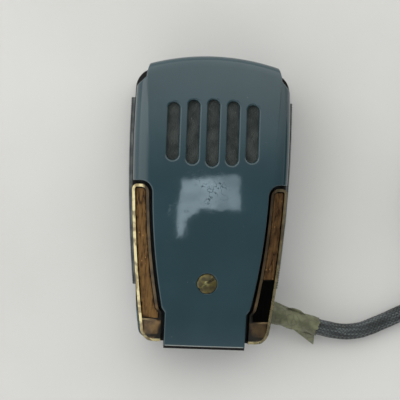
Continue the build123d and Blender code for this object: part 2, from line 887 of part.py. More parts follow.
def make_rear_case():
    with BuildPart() as rear_case:
        with BuildSketch():
            add(case_outline(0))
        extrude(amount=split_z)
        fillet(rear_case.faces().sort_by(Axis.Z)[0].edges(), back_edge_radius)
        with BuildSketch(Plane.XY.offset(case_floor)):
            add(case_outline(case_wall))
        extrude(amount=split_z, mode=Mode.SUBTRACT)
        # Pedestal behind the tongue's free end
        cross_fall = tongue_end_half_width**2 / (2 * cross_radius)
        pedestal_top = crown_at(tongue_end_y) - cross_fall - cover_wall - seat_gap
        with BuildSketch(Plane.XY.offset(back_edge_radius + 1)):
            with Locations((0, (pedestal_end_y + pedestal_root_y) / 2)):
                Rectangle(2 * tongue_end_half_width, pedestal_root_y - pedestal_end_y)
        extrude(amount=pedestal_top - back_edge_radius - 1)
        # Ring that locates the cartridge
        ring_bore = cup_radius + running_gap
        add(ring(ring_bore + cradle_wall, ring_bore, case_floor - 0.1, cradle_height))
        # Bosses: cover screw, rear screws, hinge pin, terminal board
        post_top = crown_at(screw_y - post_radius) - cover_wall - 2 * seat_gap
        with BuildSketch(Plane.XY.offset(case_floor - 0.1)):
            with Locations((0, screw_y)):
                Circle(post_radius)
        extrude(amount=post_top - case_floor + 0.1)
        with BuildSketch(Plane.XY.offset(case_floor - 0.1)):
            with Locations((rear_screw_x, rear_screw_y), (-rear_screw_x, rear_screw_y)):
                Circle(rear_boss_radius)
        extrude(amount=split_z - case_floor + 0.1)
        with BuildSketch(Plane.XY.offset(case_floor - 0.1)):
            with Locations((hinge_x, hinge_y)):
                Circle(hinge_lug_radius)
        extrude(amount=pin_boss_height + 0.1)
        with BuildSketch(Plane.XY.offset(case_floor - 0.1)):
            with Locations(*board_posts):
                Circle(board_post_radius)
        extrude(amount=board_post_height + 0.1)
        # Thickened seat of the cord gland
        with BuildSketch(gland_plane(-gland_seat_outer - 0.6)):
            Circle(gland_boss_radius)
        extrude(amount=gland_seat_outer + 0.6 - gland_seat_inner)
        with BuildSketch(Plane.XY.offset(case_floor - 0.1)):
            with Locations(clamp_screw_point()):
                Circle(board_post_radius)
        extrude(amount=clamp_boss_height + 0.1)
        for start, depth, radius in [
            (-gland_seat_outer, 8.0, gland_flange_radius + 0.2),
            (-gland_seat_inner - 3.0, 8.0, gland_body_radius + seat_gap),
        ]:
            with BuildSketch(gland_plane(start)):
                Circle(radius)
            extrude(amount=depth, mode=Mode.SUBTRACT)
        # Holes for the screws and the pin
        with BuildSketch(Plane.XY.offset(post_top)):
            with Locations((0, screw_y)):
                Circle(screw_shank_radius + thread_clearance)
        extrude(amount=-screw_length, mode=Mode.SUBTRACT)
        with BuildSketch(Plane.XY.offset(case_floor)):
            with Locations((hinge_x, hinge_y)):
                Circle(pin_radius + 0.01)
        extrude(amount=pin_boss_height + 1, mode=Mode.SUBTRACT)
        with BuildSketch(Plane.XY.offset(case_floor)):
            with Locations(*board_posts):
                Circle(board_screw_radius + thread_clearance)
            with Locations(clamp_screw_point()):
                Circle(clamp_screw_radius + thread_clearance)
        extrude(amount=board_post_height + 1, mode=Mode.SUBTRACT)
        for side in (-1, 1):
            with Locations(Location((side * rear_screw_x, rear_screw_y, 0), (180, 0, 0))):
                CounterSinkHole(
                    rear_screw_radius + 0.2,
                    rear_screw_head_radius + rear_head_sink + 0.1,
                    depth=split_z + 1,
                    counter_sink_angle=90,
                )
        # Window of the talk bar, recess of the grip strip, groove of the cover's hook
        window_height = bar_height + 2 * window_clearance
        with BuildSketch(Plane.XY.offset(bar_mid_z - window_height / 2)):
            window_high = bar_high_y + window_end_clearance
            window_low = bar_low_y - window_end_clearance
            add(flank_band(3.0, -case_wall - 0.2, window_low, window_high))
        extrude(amount=window_height, mode=Mode.SUBTRACT)
        with BuildSketch(Plane.XY.offset(bar_low_z - seat_gap)):
            add(flank_band(3.0, -strip_recess, bar_low_y - seat_gap, bar_high_y + seat_gap))
            mirror(about=Plane.YZ)
            with Locations((-case_half_width, 0)):
                Rectangle(2 * case_half_width, 4 * case_half_width, mode=Mode.SUBTRACT)
        extrude(amount=bar_height + 2 * seat_gap, mode=Mode.SUBTRACT)
        with BuildSketch(Plane.XY.offset(band_hook_z - seat_gap)):
            groove_crest = band_inner_crest - band_hook_reach - 2 * seat_gap
            add(end_band(case_top + 1, groove_crest, band_hook_half_width + running_gap))
        extrude(amount=band_hook_height + 2 * seat_gap, mode=Mode.SUBTRACT)
    return rear_case.part


def make_return_spring():
    seat_radius = cup_radius + running_gap + cradle_wall
    start_x = -flank_x(case_half_width + flange_inner, spring_y) + 0.1 + spring_wire
    length = -seat_radius - 0.1 - spring_wire - start_x
    with BuildPart() as return_spring:
        with BuildLine() as coil_line:
            Helix(length / spring_turns, length, spring_radius, (start_x, spring_y, bar_mid_z), (1, 0, 0))
        with BuildSketch(Plane(origin=coil_line.line @ 0, z_dir=coil_line.line % 0)):
            Circle(spring_wire)
        sweep(path=coil_line.line, is_frenet=True)
    return return_spring.part


def across(x):
    """Plane across the X axis at x, with local x along Y and local y along Z."""
    return Plane(origin=(x, 0, 0), x_dir=(0, 1, 0), z_dir=(1, 0, 0))


def make_switch_plunger():
    start_x = -flank_x(case_half_width + flange_inner, plunger_y) + running_gap
    end_x = moving_blade_x - blade_thickness / 2 - 0.2
    collar_x = guide_x + bracket_sheet / 2 + running_gap
    with BuildPart() as switch_plunger:
        with BuildSketch(across(start_x)):
            with Locations((plunger_y, bar_mid_z)):
                Circle(plunger_radius)
        extrude(amount=end_x - start_x)
        with BuildSketch(across(collar_x)):
            with Locations((plunger_y, bar_mid_z)):
                Circle(plunger_collar_radius)
        extrude(amount=plunger_collar)
        nose = switch_plunger.edges().filter_by(GeomType.CIRCLE).sort_by(Axis.X)[-1]
        fillet(nose, 0.4)
    return switch_plunger.part


stack_plate_x = fixed_blade_x + blade_thickness / 2 + insulator_thickness + 2 * seat_gap
stack_length = stack_high_y - blade_low_y
stack_mid_y = (stack_high_y + blade_low_y) / 2
stack_screw_ys = (stack_mid_y - stack_screw_pitch / 2, stack_mid_y + stack_screw_pitch / 2)


def make_switch_bracket():
    base_low_z = case_floor + seat_gap
    left_x = guide_x - bracket_sheet / 2
    right_x = stack_plate_x + bracket_sheet
    guide_high_y = plunger_y + guide_half_width
    low_y = blade_low_y - 0.6
    with BuildPart() as switch_bracket:
        with BuildSketch(Plane.XY.offset(base_low_z)):
            with Locations(((left_x + right_x) / 2, (guide_high_y + low_y) / 2)):
                Rectangle(right_x - left_x, guide_high_y - low_y)
        extrude(amount=bracket_sheet)
        with BuildSketch(across(left_x)):
            with Locations((plunger_y, (guide_top_z + base_low_z) / 2)):
                Rectangle(2 * guide_half_width, guide_top_z - base_low_z)
            with Locations((plunger_y, bar_mid_z)):
                Circle(plunger_radius + pin_clearance, mode=Mode.SUBTRACT)
        extrude(amount=bracket_sheet)
        with BuildSketch(across(stack_plate_x)):
            with Locations((stack_mid_y, (guide_top_z + base_low_z) / 2)):
                Rectangle(stack_length + 0.8, guide_top_z - base_low_z)
            for screw_at in stack_screw_ys:
                with Locations((screw_at, bar_mid_z)):
                    Circle(stack_screw_radius + thread_clearance, mode=Mode.SUBTRACT)
        extrude(amount=bracket_sheet)
    return switch_bracket.part


def stack_block(low_x, high_x, low_y, high_y):
    """Flat layer of the contact stack, with its screw holes."""
    with BuildPart() as layer:
        with BuildSketch(across(low_x)):
            with Locations(((low_y + high_y) / 2, bar_mid_z)):
                Rectangle(high_y - low_y, blade_width)
            for screw_at in stack_screw_ys:
                with Locations((screw_at, bar_mid_z)):
                    Circle(stack_screw_radius + seat_gap, mode=Mode.SUBTRACT)
        extrude(amount=high_x - low_x)
    return layer.part


def make_switch_insulators():
    half = blade_thickness / 2
    gap = seat_gap / 2
    first_low = moving_blade_x - half - gap - insulator_thickness
    layers = [
        (first_low, moving_blade_x - half - gap),
        (moving_blade_x + half + gap, fixed_blade_x - half - gap),
        (fixed_blade_x + half + gap, stack_plate_x - gap),
    ]
    with BuildPart() as switch_insulators:
        for low_x, high_x in layers:
            add(stack_block(low_x, high_x, blade_low_y, stack_high_y))
    return switch_insulators.part


def contact_blade(blade_x, contact_side):
    """Leaf of the switch with its contact rivet."""
    half = blade_thickness / 2
    with BuildPart() as blade:
        add(stack_block(blade_x - half, blade_x + half, blade_low_y, blade_high_y))
        with BuildSketch(across(blade_x + contact_side * half)):
            with Locations((blade_high_y - 1.4, bar_mid_z)):
                Circle(contact_radius)
        extrude(amount=contact_side * contact_rise)
    return blade.part


def make_switch_screws():
    head_low_x = moving_blade_x - blade_thickness / 2 - insulator_thickness - seat_gap
    with BuildPart() as switch_screws:
        for screw_at in stack_screw_ys:
            with BuildSketch(across(head_low_x)):
                with Locations((screw_at, bar_mid_z)):
                    Circle(stack_screw_radius * 1.5)
            extrude(amount=-0.8)
            with BuildSketch(across(head_low_x)):
                with Locations((screw_at, bar_mid_z)):
                    Circle(stack_screw_radius)
            extrude(amount=stack_plate_x + bracket_sheet + 0.3 - head_low_x)
    return switch_screws.part


board_low_z = case_floor + board_post_height + seat_gap
lug_points = [
    (board_x + side * lug_pitch_x / 2, board_y + end * lug_pitch_y / 2) for side in (-1, 1) for end in (-1, 1)
]


def make_terminal_board():
    with BuildPart() as terminal_board:
        with BuildSketch(Plane.XY.offset(board_low_z)):
            with Locations((board_x, board_y)):
                RectangleRounded(board_width, board_length, 1.0)
            with Locations(*board_posts):
                Circle(board_screw_radius + 0.1, mode=Mode.SUBTRACT)
            with Locations(*lug_points):
                Circle(lug_radius + seat_gap, mode=Mode.SUBTRACT)
        extrude(amount=board_thickness)
    return terminal_board.part


def make_terminal_lugs():
    top_z = board_low_z + board_thickness
    with BuildPart() as terminal_lugs:
        with BuildSketch(Plane.XY.offset(board_low_z - 0.6)):
            with Locations(*lug_points):
                Circle(lug_radius)
        extrude(amount=lug_height)
        with BuildSketch(Plane.XY.offset(top_z + seat_gap)):
            with Locations(*lug_points):
                Circle(lug_radius + 0.5)
        extrude(amount=0.4)
    return terminal_lugs.part


def pan_screw(points, seat_z, shank_radius, length):
    """Small pan-head screws that stand on seat_z."""
    with BuildPart() as screws:
        with BuildSketch(Plane.XY.offset(seat_z)):
            with Locations(*points):
                Circle(1.9 * shank_radius)
        extrude(amount=1.1 * shank_radius)
        with BuildSketch(Plane.XY.offset(seat_z)):
            with Locations(*points):
                Circle(shank_radius)
        extrude(amount=-length)
        with BuildSketch(Plane.XY.offset(seat_z + 1.1 * shank_radius)):
            with Locations(*points):
                Rectangle(5 * shank_radius, 0.4 * shank_radius)
        extrude(amount=-0.5 * shank_radius, mode=Mode.SUBTRACT)
    return screws.part


core_low_z = case_floor + seat_gap + winding_wall + 0.1


def make_transformer_core():
    window_width = (core_width - 2 * core_limb - core_leg) / 2
    window_offset = (core_leg + window_width) / 2
    with BuildPart() as transformer_core:
        with BuildSketch(Plane.XY.offset(core_low_z)):
            with Locations((core_x, core_y)):
                Rectangle(core_width, core_length)
            with Locations((core_x - window_offset, core_y), (core_x + window_offset, core_y)):
                Rectangle(window_width, core_length - 2 * core_limb, mode=Mode.SUBTRACT)
        extrude(amount=core_stack)
    return transformer_core.part


def make_transformer_winding():
    length = core_length - 2 * core_limb - 2 * seat_gap
    bore = core_leg + 0.2
    size = bore + 2 * winding_wall
    height = core_stack + 0.2 + 2 * winding_wall
    low_end = (core_x, core_y - length / 2, core_low_z + core_stack / 2)
    plane = Plane(origin=low_end, x_dir=(1, 0, 0), z_dir=(0, 1, 0))
    with BuildPart() as transformer_winding:
        with BuildSketch(plane):
            RectangleRounded(size, height, 2.0)
            Rectangle(bore, core_stack + 0.2, mode=Mode.SUBTRACT)
        extrude(amount=length)
    return transformer_winding.part


def make_cord_gland():
    inner_flange_end = -gland_seat_inner - seat_gap - gland_flange_thickness
    tail_end = inner_flange_end - gland_inner_tail
    steps = [
        (-gland_seat_outer + seat_gap, -gland_tail, gland_flange_radius),
        (-gland_seat_inner - seat_gap, -gland_seat_outer + seat_gap, gland_body_radius),
        (inner_flange_end, -gland_seat_inner - seat_gap, gland_flange_radius - 0.3),
        (tail_end, inner_flange_end, gland_tail_radius),
        (-gland_tail, -running_gap, gland_tail_radius + 0.4),
    ]
    with BuildPart() as cord_gland:
        for low, high, radius in steps:
            with BuildSketch(gland_plane(low)):
                Circle(radius)
            extrude(amount=high - low)
        with BuildSketch(gland_plane(tail_end)):
            Circle(gland_bore_radius)
        extrude(amount=-tail_end, mode=Mode.SUBTRACT)
    return cord_gland.part


def make_cord_clamp():
    axis_z = cord_start.Z
    low = case_floor + seat_gap - axis_z
    foot_low = case_floor + clamp_boss_height + seat_gap - axis_z
    with BuildPart() as cord_clamp:
        with BuildSketch(gland_plane(clamp_distance - clamp_width / 2)):
            with Locations(((low + clamp_side) / 2, 0)):
                RectangleRounded(clamp_side - low, 2 * clamp_side, 1.2)
            with Locations((foot_low + clamp_foot_height / 2, -clamp_side - clamp_foot / 2 + 0.5)):
                Rectangle(clamp_foot_height, clamp_foot + 1.0)
            Circle(gland_tail_radius + seat_gap, mode=Mode.SUBTRACT)
        extrude(amount=clamp_width)
        with Locations((*clamp_screw_point(), foot_low + axis_z + clamp_foot_height)):
            Hole(clamp_screw_radius + 0.1, depth=clamp_foot_height + 1)
    return cord_clamp.part


def corner_radii(route):
    """Radius of each bend: 0.45 of its shorter run over the tangent of half its turn."""
    radii = []
    for before, corner, after in zip(route, route[1:], route[2:]):
        run_in = Vector(*corner) - Vector(*before)
        run_out = Vector(*after) - Vector(*corner)
        half_turn = math.radians(run_in.get_angle(run_out)) / 2
        radii.append(0.45 * min(run_in.length, run_out.length) / math.tan(half_turn))
    return radii


def tube(route, radius, radii):
    """Round tube along straight runs joined by tangent arcs."""
    with BuildPart() as swept:
        with BuildLine() as path:
            FilletPolyline(*route, radius=radii)
        with BuildSketch(Plane(origin=path.line @ 0, z_dir=path.line % 0)):
            Circle(radius)
        sweep(path=path.line)
    length = sum(edge.length for edge in path.edges())
    filled = swept.part.volume / (math.pi * radius**2 * length)
    print(f"tube of radius {radius}: length {length:.1f}, volume over section x length {filled:.4f}")
    return swept.part


def make_inner_leads():
    leads_z = cord_start.Z
    lug_z = board_low_z + board_thickness + 1.6
    reach = -gland_seat_inner - seat_gap - gland_flange_thickness - gland_inner_tail
    mouth = cord_start + gland_axis * (reach - 0.1)
    below_post = screw_y - post_radius
    with BuildPart() as inner_leads:
        for offset, lug in zip((1.0, -1.0), (lug_points[0], lug_points[2])):
            route = [
                (mouth.X, mouth.Y - offset, leads_z),
                (lug[0], below_post - 2.7 - offset, leads_z + 0.4),
                (lug[0], lug[1] - lug_radius - 0.1, lug_z),
            ]
            add(tube(route, lead_radius, [3.0]))
        switch_route = [
            (fixed_blade_x, blade_low_y - 0.1, bar_mid_z),
            (fixed_blade_x, lug_points[1][1] - 2.4, bar_mid_z),
            (lug_points[1][0] - lug_radius - 0.1, lug_points[1][1], lug_z),
        ]
        add(tube(switch_route, lead_radius, [1.6]))
    return inner_leads.part


def make_rear_screws():
    low_z = rear_head_sink
    head = rear_screw_head_radius - rear_screw_radius
    with BuildPart() as rear_screws:
        with BuildSketch(Plane.XZ.offset(-rear_screw_y)):
            with BuildLine():
                Polyline(
                    (rear_screw_x, low_z),
                    (rear_screw_x + rear_screw_head_radius, low_z),
                    (rear_screw_x + rear_screw_radius, low_z + head),
                    (rear_screw_x + rear_screw_radius, split_z + rear_screw_reach),
                    (rear_screw_x, split_z + rear_screw_reach),
                    (rear_screw_x, low_z),
                )
            make_face()
        revolve(axis=Axis((rear_screw_x, rear_screw_y, 0), (0, 0, 1)))
        with BuildSketch(Plane.XY.offset(low_z)):
            with Locations((rear_screw_x, rear_screw_y)):
                Rectangle(2.2 * rear_screw_head_radius, 0.7, rotation=20)
        extrude(amount=0.7, mode=Mode.SUBTRACT)
        mirror(about=Plane.YZ)
    return rear_screws.part


def make_tape_wrap():
    first_run = (Vector(*lead_route[1]) - cord_start).normalized()
    inner = cord_radius + tape_gap
    with BuildPart() as tape_wrap:
        with BuildSketch(Plane(origin=cord_start + first_run * 0.3, z_dir=first_run)):
            Circle(inner + tape_thickness)
            Circle(inner, mode=Mode.SUBTRACT)
        extrude(amount=tape_length)
    return tape_wrap.part


def make_cord_coil():
    inner = coil_turn_radii[0] - cord_radius
    outer = coil_turn_radii[1] + cord_radius
    crest_inner = (coil_turn_radii[0] + coil_turn_radii[1]) / 2 - cord_radius
    crest_outer = crest_inner + cord_diameter
    top_z = cord_diameter + 2 * coil_layer_rise
    side_z = 0.8 * cord_diameter
    centre_x, centre_y = coil_centre
    profile = [
        (inner, 0), (outer, 0), (outer, side_z), (crest_outer, top_z), (crest_inner, top_z), (inner, side_z),
    ]
    with BuildPart() as cord_coil:
        with BuildSketch(Plane.XZ.offset(-centre_y)):
            with BuildLine():
                Polyline(*[(centre_x + radius, z) for radius, z in profile], close=True)
            make_face()
        revolve(axis=Axis((centre_x, centre_y, 0), (0, 0, 1)))
    return cord_coil.part


tail_end = Vector(*tail_route[-1])
tail_run = tail_end - Vector(*tail_route[-2])
plug_axis = Vector(tail_run.X, tail_run.Y, 0).normalized()


def plug_plane(distance):
    """Plane that holds the plug's axis, with local x along it from the cord."""
    return Plane(origin=tail_end + plug_axis * distance, x_dir=plug_axis, z_dir=(0, 0, 1))


def turned_on_plug(distance, profile):
    """Solid of revolution about the plug's axis, from (along, radius) points."""
    plane = plug_plane(distance)
    with BuildPart() as turned:
        with BuildSketch(plane):
            with BuildLine():
                Polyline(*profile, close=True)
            make_face()
        revolve(axis=Axis(plane.origin, plug_axis))
    return turned.part


def make_plug_handle():
    profile = [
        (0.5, 0), (0.5, handle_neck_radius), (3.0, handle_neck_radius + 0.5), (7.0, handle_radius - 0.4),
        (8.5, handle_radius), (handle_length - 1.0, handle_radius), (handle_length, handle_radius - 0.8),
        (handle_length, 0),
    ]
    return turned_on_plug(0, profile)


def make_plug_sleeve():
    profile = [
        (seat_gap, 0), (seat_gap, collar_radius), (collar_length, collar_radius), (collar_length, plug_pin_radius),
        (collar_length + sleeve_length, plug_pin_radius), (collar_length + sleeve_length, 0),
    ]
    return turned_on_plug(handle_length, profile)


def make_plug_insulator():
    radius = plug_pin_radius - insulator_step
    profile = [(seat_gap, 0), (seat_gap, radius), (insulator_length, radius), (insulator_length, 0)]
    return turned_on_plug(handle_length + collar_length + sleeve_length, profile)


def make_plug_tip():
    profile = [
        (seat_gap, 0), (seat_gap, plug_pin_radius - insulator_step), (0.7, plug_pin_radius - 0.05),
        (1.7, tip_neck_radius), (2.7, tip_neck_radius), (4.2, plug_pin_radius - 0.1), (4.7, plug_pin_radius),
        (5.3, plug_pin_radius - 0.15), (tip_length - 0.9, 1.5), (tip_length, 0.5), (tip_length, 0),
    ]
    return turned_on_plug(handle_length + collar_length + sleeve_length + insulator_length, profile)


lead_radii = corner_radii(lead_route)
tail_radii = corner_radii(tail_route)
print("lead radii", [round(radius, 1) for radius in lead_radii])
print("tail radii", [round(radius, 1) for radius in tail_radii])

pieces = {
    "front_cover": make_front_cover(),
    "rear_case": make_rear_case(),
    "trim_frame": make_trim_frame(),
    "left_channel_pad": make_left_channel_pad(),
    "right_channel_pad": make_right_channel_pad(),
    "right_insert_remnant": make_right_insert_remnant(),
    "cover_screw": make_cover_screw(),
    "grille_cloth": make_grille_cloth(),
    "baffle_frame": make_baffle_frame(),
    "front_gasket": ring(cup_radius - 0.4, cup_radius - 0.4 - gasket_width,
                         baffle_floor_z() - seat_gap - gasket_height, gasket_height),
    "cartridge_cap": make_cartridge_cap(),
    "diaphragm": make_diaphragm(),
    "voice_coil": ring(voice_coil_radius + voice_coil_wall, voice_coil_radius,
                       cup_top_z - 0.55 - voice_coil_height, voice_coil_height),
    "top_plate": ring(cup_bore - seat_gap, top_plate_bore, plate_low_z, top_plate_thickness),
    "pole_piece": ring(pole_radius, 0, plate_top_z - pole_height, pole_height),
    "magnet": ring(magnet_radius, 0, cup_floor_z + cup_floor + seat_gap, magnet_height),
    "cartridge_cup": make_cartridge_cup(),
    "rear_cushion": ring(cushion_radius, cushion_bore, case_floor + seat_gap,
                         cup_floor_z - case_floor - 2 * seat_gap),
    "talk_bar": make_talk_bar(),
    "grip_strip": make_grip_strip(),
    "hinge_pin": make_hinge_pin(),
    "return_spring": make_return_spring(),
    "switch_plunger": make_switch_plunger(),
    "switch_bracket": make_switch_bracket(),
    "switch_insulators": make_switch_insulators(),
    "fixed_contact_blade": contact_blade(fixed_blade_x, -1),
    "moving_contact_blade": contact_blade(moving_blade_x, 1),
    "switch_screws": make_switch_screws(),
    "terminal_board": make_terminal_board(),
    "terminal_lugs": make_terminal_lugs(),
    "board_screws": pan_screw(board_posts, board_low_z + board_thickness + seat_gap, board_screw_radius, 4.6),
    "transformer_core": make_transformer_core(),
    "transformer_winding": make_transformer_winding(),
    "inner_leads": make_inner_leads(),
    "cord_gland": make_cord_gland(),
    "cord_clamp": make_cord_clamp(),
    "clamp_screw": pan_screw([clamp_screw_point()],
                             case_floor + clamp_boss_height + clamp_foot_height + 2 * seat_gap,
                             clamp_screw_radius, 3.2),
    "rear_screws": make_rear_screws(),
    "tape_wrap": make_tape_wrap(),
    "cord": tube(lead_route, cord_radius, lead_radii),
    "cord_coil": make_cord_coil(),
    "cord_tail": tube(tail_route, cord_radius, tail_radii),
    "plug_handle": make_plug_handle(),
    "plug_sleeve": make_plug_sleeve(),
    "plug_insulator": make_plug_insulator(),
    "plug_tip": make_plug_tip(),
}

os.makedirs("parts", exist_ok=True)
for name, piece in pieces.items():
    piece.label = name
    export_step(piece, f"parts/{name}.step")
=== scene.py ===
import bpy
import bmesh
import json
import math
import numpy as np
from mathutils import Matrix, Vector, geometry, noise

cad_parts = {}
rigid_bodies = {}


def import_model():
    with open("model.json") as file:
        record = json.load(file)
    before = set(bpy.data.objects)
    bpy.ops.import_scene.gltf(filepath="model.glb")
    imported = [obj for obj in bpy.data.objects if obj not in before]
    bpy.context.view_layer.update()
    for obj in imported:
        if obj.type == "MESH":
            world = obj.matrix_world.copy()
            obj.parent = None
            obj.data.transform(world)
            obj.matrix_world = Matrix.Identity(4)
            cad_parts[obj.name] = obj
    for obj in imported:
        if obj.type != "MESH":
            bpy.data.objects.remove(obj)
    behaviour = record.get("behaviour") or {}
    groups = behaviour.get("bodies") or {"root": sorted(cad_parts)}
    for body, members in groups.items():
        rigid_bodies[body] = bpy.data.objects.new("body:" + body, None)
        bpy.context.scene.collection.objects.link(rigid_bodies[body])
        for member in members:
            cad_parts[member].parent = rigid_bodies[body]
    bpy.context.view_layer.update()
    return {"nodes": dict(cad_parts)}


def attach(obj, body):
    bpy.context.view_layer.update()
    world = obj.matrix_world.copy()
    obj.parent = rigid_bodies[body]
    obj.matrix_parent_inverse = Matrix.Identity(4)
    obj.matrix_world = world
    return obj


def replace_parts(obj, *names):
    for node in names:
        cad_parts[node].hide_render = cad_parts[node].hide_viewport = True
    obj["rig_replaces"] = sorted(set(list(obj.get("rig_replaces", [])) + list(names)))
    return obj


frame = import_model()
scene = bpy.context.scene
print("frame loaded")

mm = 0.001
shape = {  # the housing's leading sizes, in millimetres, as the solids have them
    "caseHalfWidth": 28.6,
    "coverHalfWidth": 28.2,
    "flankRadius": 476.0,
    "widestY": 24.0,
    "topArcRadius": 82.0,
    "splitZ": 15.0,
    "crownZ": 30.0,
    "crownY": 5.0,
    "crownRadius": 230.0,
    "crossRadius": 300.0,
    "screwY": -28.9,
}


def flankX(halfWidth, y):
    return halfWidth - shape["flankRadius"] + np.sqrt(shape["flankRadius"] ** 2 - (y - shape["widestY"]) ** 2)


def arcY(crest, x):
    return crest - shape["topArcRadius"] + np.sqrt(shape["topArcRadius"] ** 2 - x**2)


def crownAt(y):
    return shape["crownZ"] - shape["crownRadius"] + np.sqrt(shape["crownRadius"] ** 2 - (y - shape["crownY"]) ** 2)


def domeZ(x, y):
    centre = shape["crownZ"] - shape["crossRadius"]
    return centre + np.sqrt((crownAt(y) - centre) ** 2 - x**2)


# Camera: above the face, turned a little and leaning a little from the left
cameraSet = {"x": -3.8, "y": 0.9, "height": 450.0, "turn": 2.2, "lean": 2.2, "fieldWidth": 142.0, "faceZ": 30.0}


def makeCamera():
    data = bpy.data.cameras.new("camera")
    camera = bpy.data.objects.new("camera", data)
    scene.collection.objects.link(camera)
    turn = math.radians(cameraSet["turn"])
    lean = math.radians(cameraSet["lean"])
    aside = (cameraSet["height"] - cameraSet["faceZ"]) * math.tan(lean)
    x = cameraSet["x"] - aside * math.cos(turn)
    y = cameraSet["y"] - aside * math.sin(turn)
    camera.location = (x * mm, y * mm, cameraSet["height"] * mm)
    camera.rotation_euler = (0, -lean, turn)
    data.lens = data.sensor_width * (cameraSet["height"] - cameraSet["faceZ"]) / cameraSet["fieldWidth"]
    data.clip_start = 0.01
    scene.camera = camera


makeCamera()
print("camera placed")


# Node helpers: a value is a number, a colour or another node's output
falling = (1.0, 0.0)


def addNode(tree, kind, **values):
    made = tree.nodes.new(kind)
    for name, value in values.items():
        setattr(made, name, value)
    return made


def fill(tree, socket, value):
    if isinstance(value, bpy.types.NodeSocket):
        tree.links.new(value, socket)
    elif isinstance(value, (tuple, list)) and socket.type == "RGBA":
        socket.default_value = (*value[:3], 1.0)
    else:
        socket.default_value = value


def feed(tree, made, **values):
    for name, value in values.items():
        fill(tree, made.inputs[name.replace("_", " ")], value)
    return made


def separate(tree, value):
    made = addNode(tree, "ShaderNodeSeparateXYZ")
    tree.links.new(value, made.inputs[0])
    return made.outputs


def combine(tree, *values):
    made = addNode(tree, "ShaderNodeCombineXYZ")
    for socket, value in zip(made.inputs, values):
        fill(tree, socket, value)
    return made.outputs[0]


def objectPlace(tree):
    return addNode(tree, "ShaderNodeTexCoord").outputs["Object"]


def objectParts(tree):
    return separate(tree, objectPlace(tree))


def texture(tree, kind, settings=(), **values):
    made = addNode(tree, "ShaderNodeTex" + kind, **dict(settings))
    if "Vector" not in values:
        values["Vector"] = objectPlace(tree)
    return feed(tree, made, **values)


def mathNode(tree, operation, *values):
    made = addNode(tree, "ShaderNodeMath", operation=operation)
    for socket, value in zip(made.inputs, values):
        fill(tree, socket, value)
    return made.outputs[0]


def chain(tree, operation, values):
    total = values[0]
    for value in values[1:]:
        total = mathNode(tree, operation, total, value)
    return total


def times(tree, *values):
    return chain(tree, "MULTIPLY", values)


def plus(tree, *values):
    return chain(tree, "ADD", values)


def most(tree, *values):
    return chain(tree, "MAXIMUM", values)


def less(tree, first, second):
    return mathNode(tree, "SUBTRACT", first, second)


def awayFrom(tree, *pairs):
    squares = [mathNode(tree, "POWER", less(tree, value, middle), 2.0) for value, middle in pairs]
    return mathNode(tree, "SQRT", plus(tree, *squares))


def mixColour(tree, factor, first, second):
    made = addNode(tree, "ShaderNodeMix", data_type="RGBA")
    for place, value in ((0, factor), (6, first), (7, second)):
        fill(tree, made.inputs[place], value)
    return made.outputs[2]


def mapRange(tree, value, low, high, toLow=0.0, toHigh=1.0):
    made = addNode(tree, "ShaderNodeMapRange", interpolation_type="SMOOTHSTEP")
    for socket, entry in zip(list(made.inputs)[:5], (value, low, high, toLow, toHigh)):
        fill(tree, socket, entry)
    return made.outputs[0]


# The same over a span in millimetres, which may end with the two values reached
def ramp(tree, value, span, ends=(0.0, 1.0)):
    low, high, *given = span
    return mapRange(tree, value, low * mm, high * mm, *(given or ends))


def band(tree, value, rise, fall):
    return times(tree, ramp(tree, value, rise), ramp(tree, value, fall, falling))


# How far out a bowed side lies at each y
def sideLine(tree, y, half, widestY, radius):
    off = less(tree, y, widestY * mm)
    return less(tree, half * mm, times(tree, off, off, 0.5 / (radius * mm)))


def newMaterial(name):
    material = bpy.data.materials.new(name)
    material.use_nodes = True
    return material, material.node_tree, material.node_tree.nodes["Principled BSDF"]


# Light: a room that is bright beyond the sound end, at the near end and at the left, and one window overhead
room = {  # each glow: where in the sky it begins, where it is full, and its strength
    "tint": (1.0, 0.995, 0.98),
    "base": 0.17,
    "beyond": (-0.02, 0.56, 1.42),
    "beyondSlant": (-0.5, 0.6, 0.90, 1.20),
    "left": (0.12, 0.75, 1.30),
    "right": (0.50, 0.95, 0.03),
    "near": (0.46, 0.80, 0.95),
    "horizon": (0.05, 0.55, 0.05),
}
window = {
    "tint": (0.80, 0.98, 1.10),
    "glow": 4.6,
    "soft": 0.004,
    "softHigh": 0.012,
    "softLow": 0.006,
    "pane": {"left": (-0.0507, 0.097), "right": (0.143, -0.088), "low": -0.069, "high": (0.0500, 0.13)},
    "leg": {"left": -0.0580, "right": (-0.0300, 0.043), "low": (-0.156, 0.625), "high": -0.060},
    "flare": (-0.122, -0.070),
    "leastUp": 0.02,
    "fromUp": (0.1, 0.3),
    "cloud": {"Scale": 14.0, "Detail": 3.0},
    "cloudSpan": (0.35, 0.65, 0.8, 1.2),
    "bright": {"at": (0.046, 0.004), "radius": 0.060, "lift": 0.40},
    "fade": (0.050, 0.085, 1.0, 0.82),
}


def above(tree, value, edge, soft):
    return mapRange(tree, value, edge - soft, edge + soft)


def under(tree, value, edge, soft):
    return above(tree, times(tree, value, -1.0), -edge, soft)


def slanted(tree, value, other, slope):
    return less(tree, value, times(tree, other, slope))


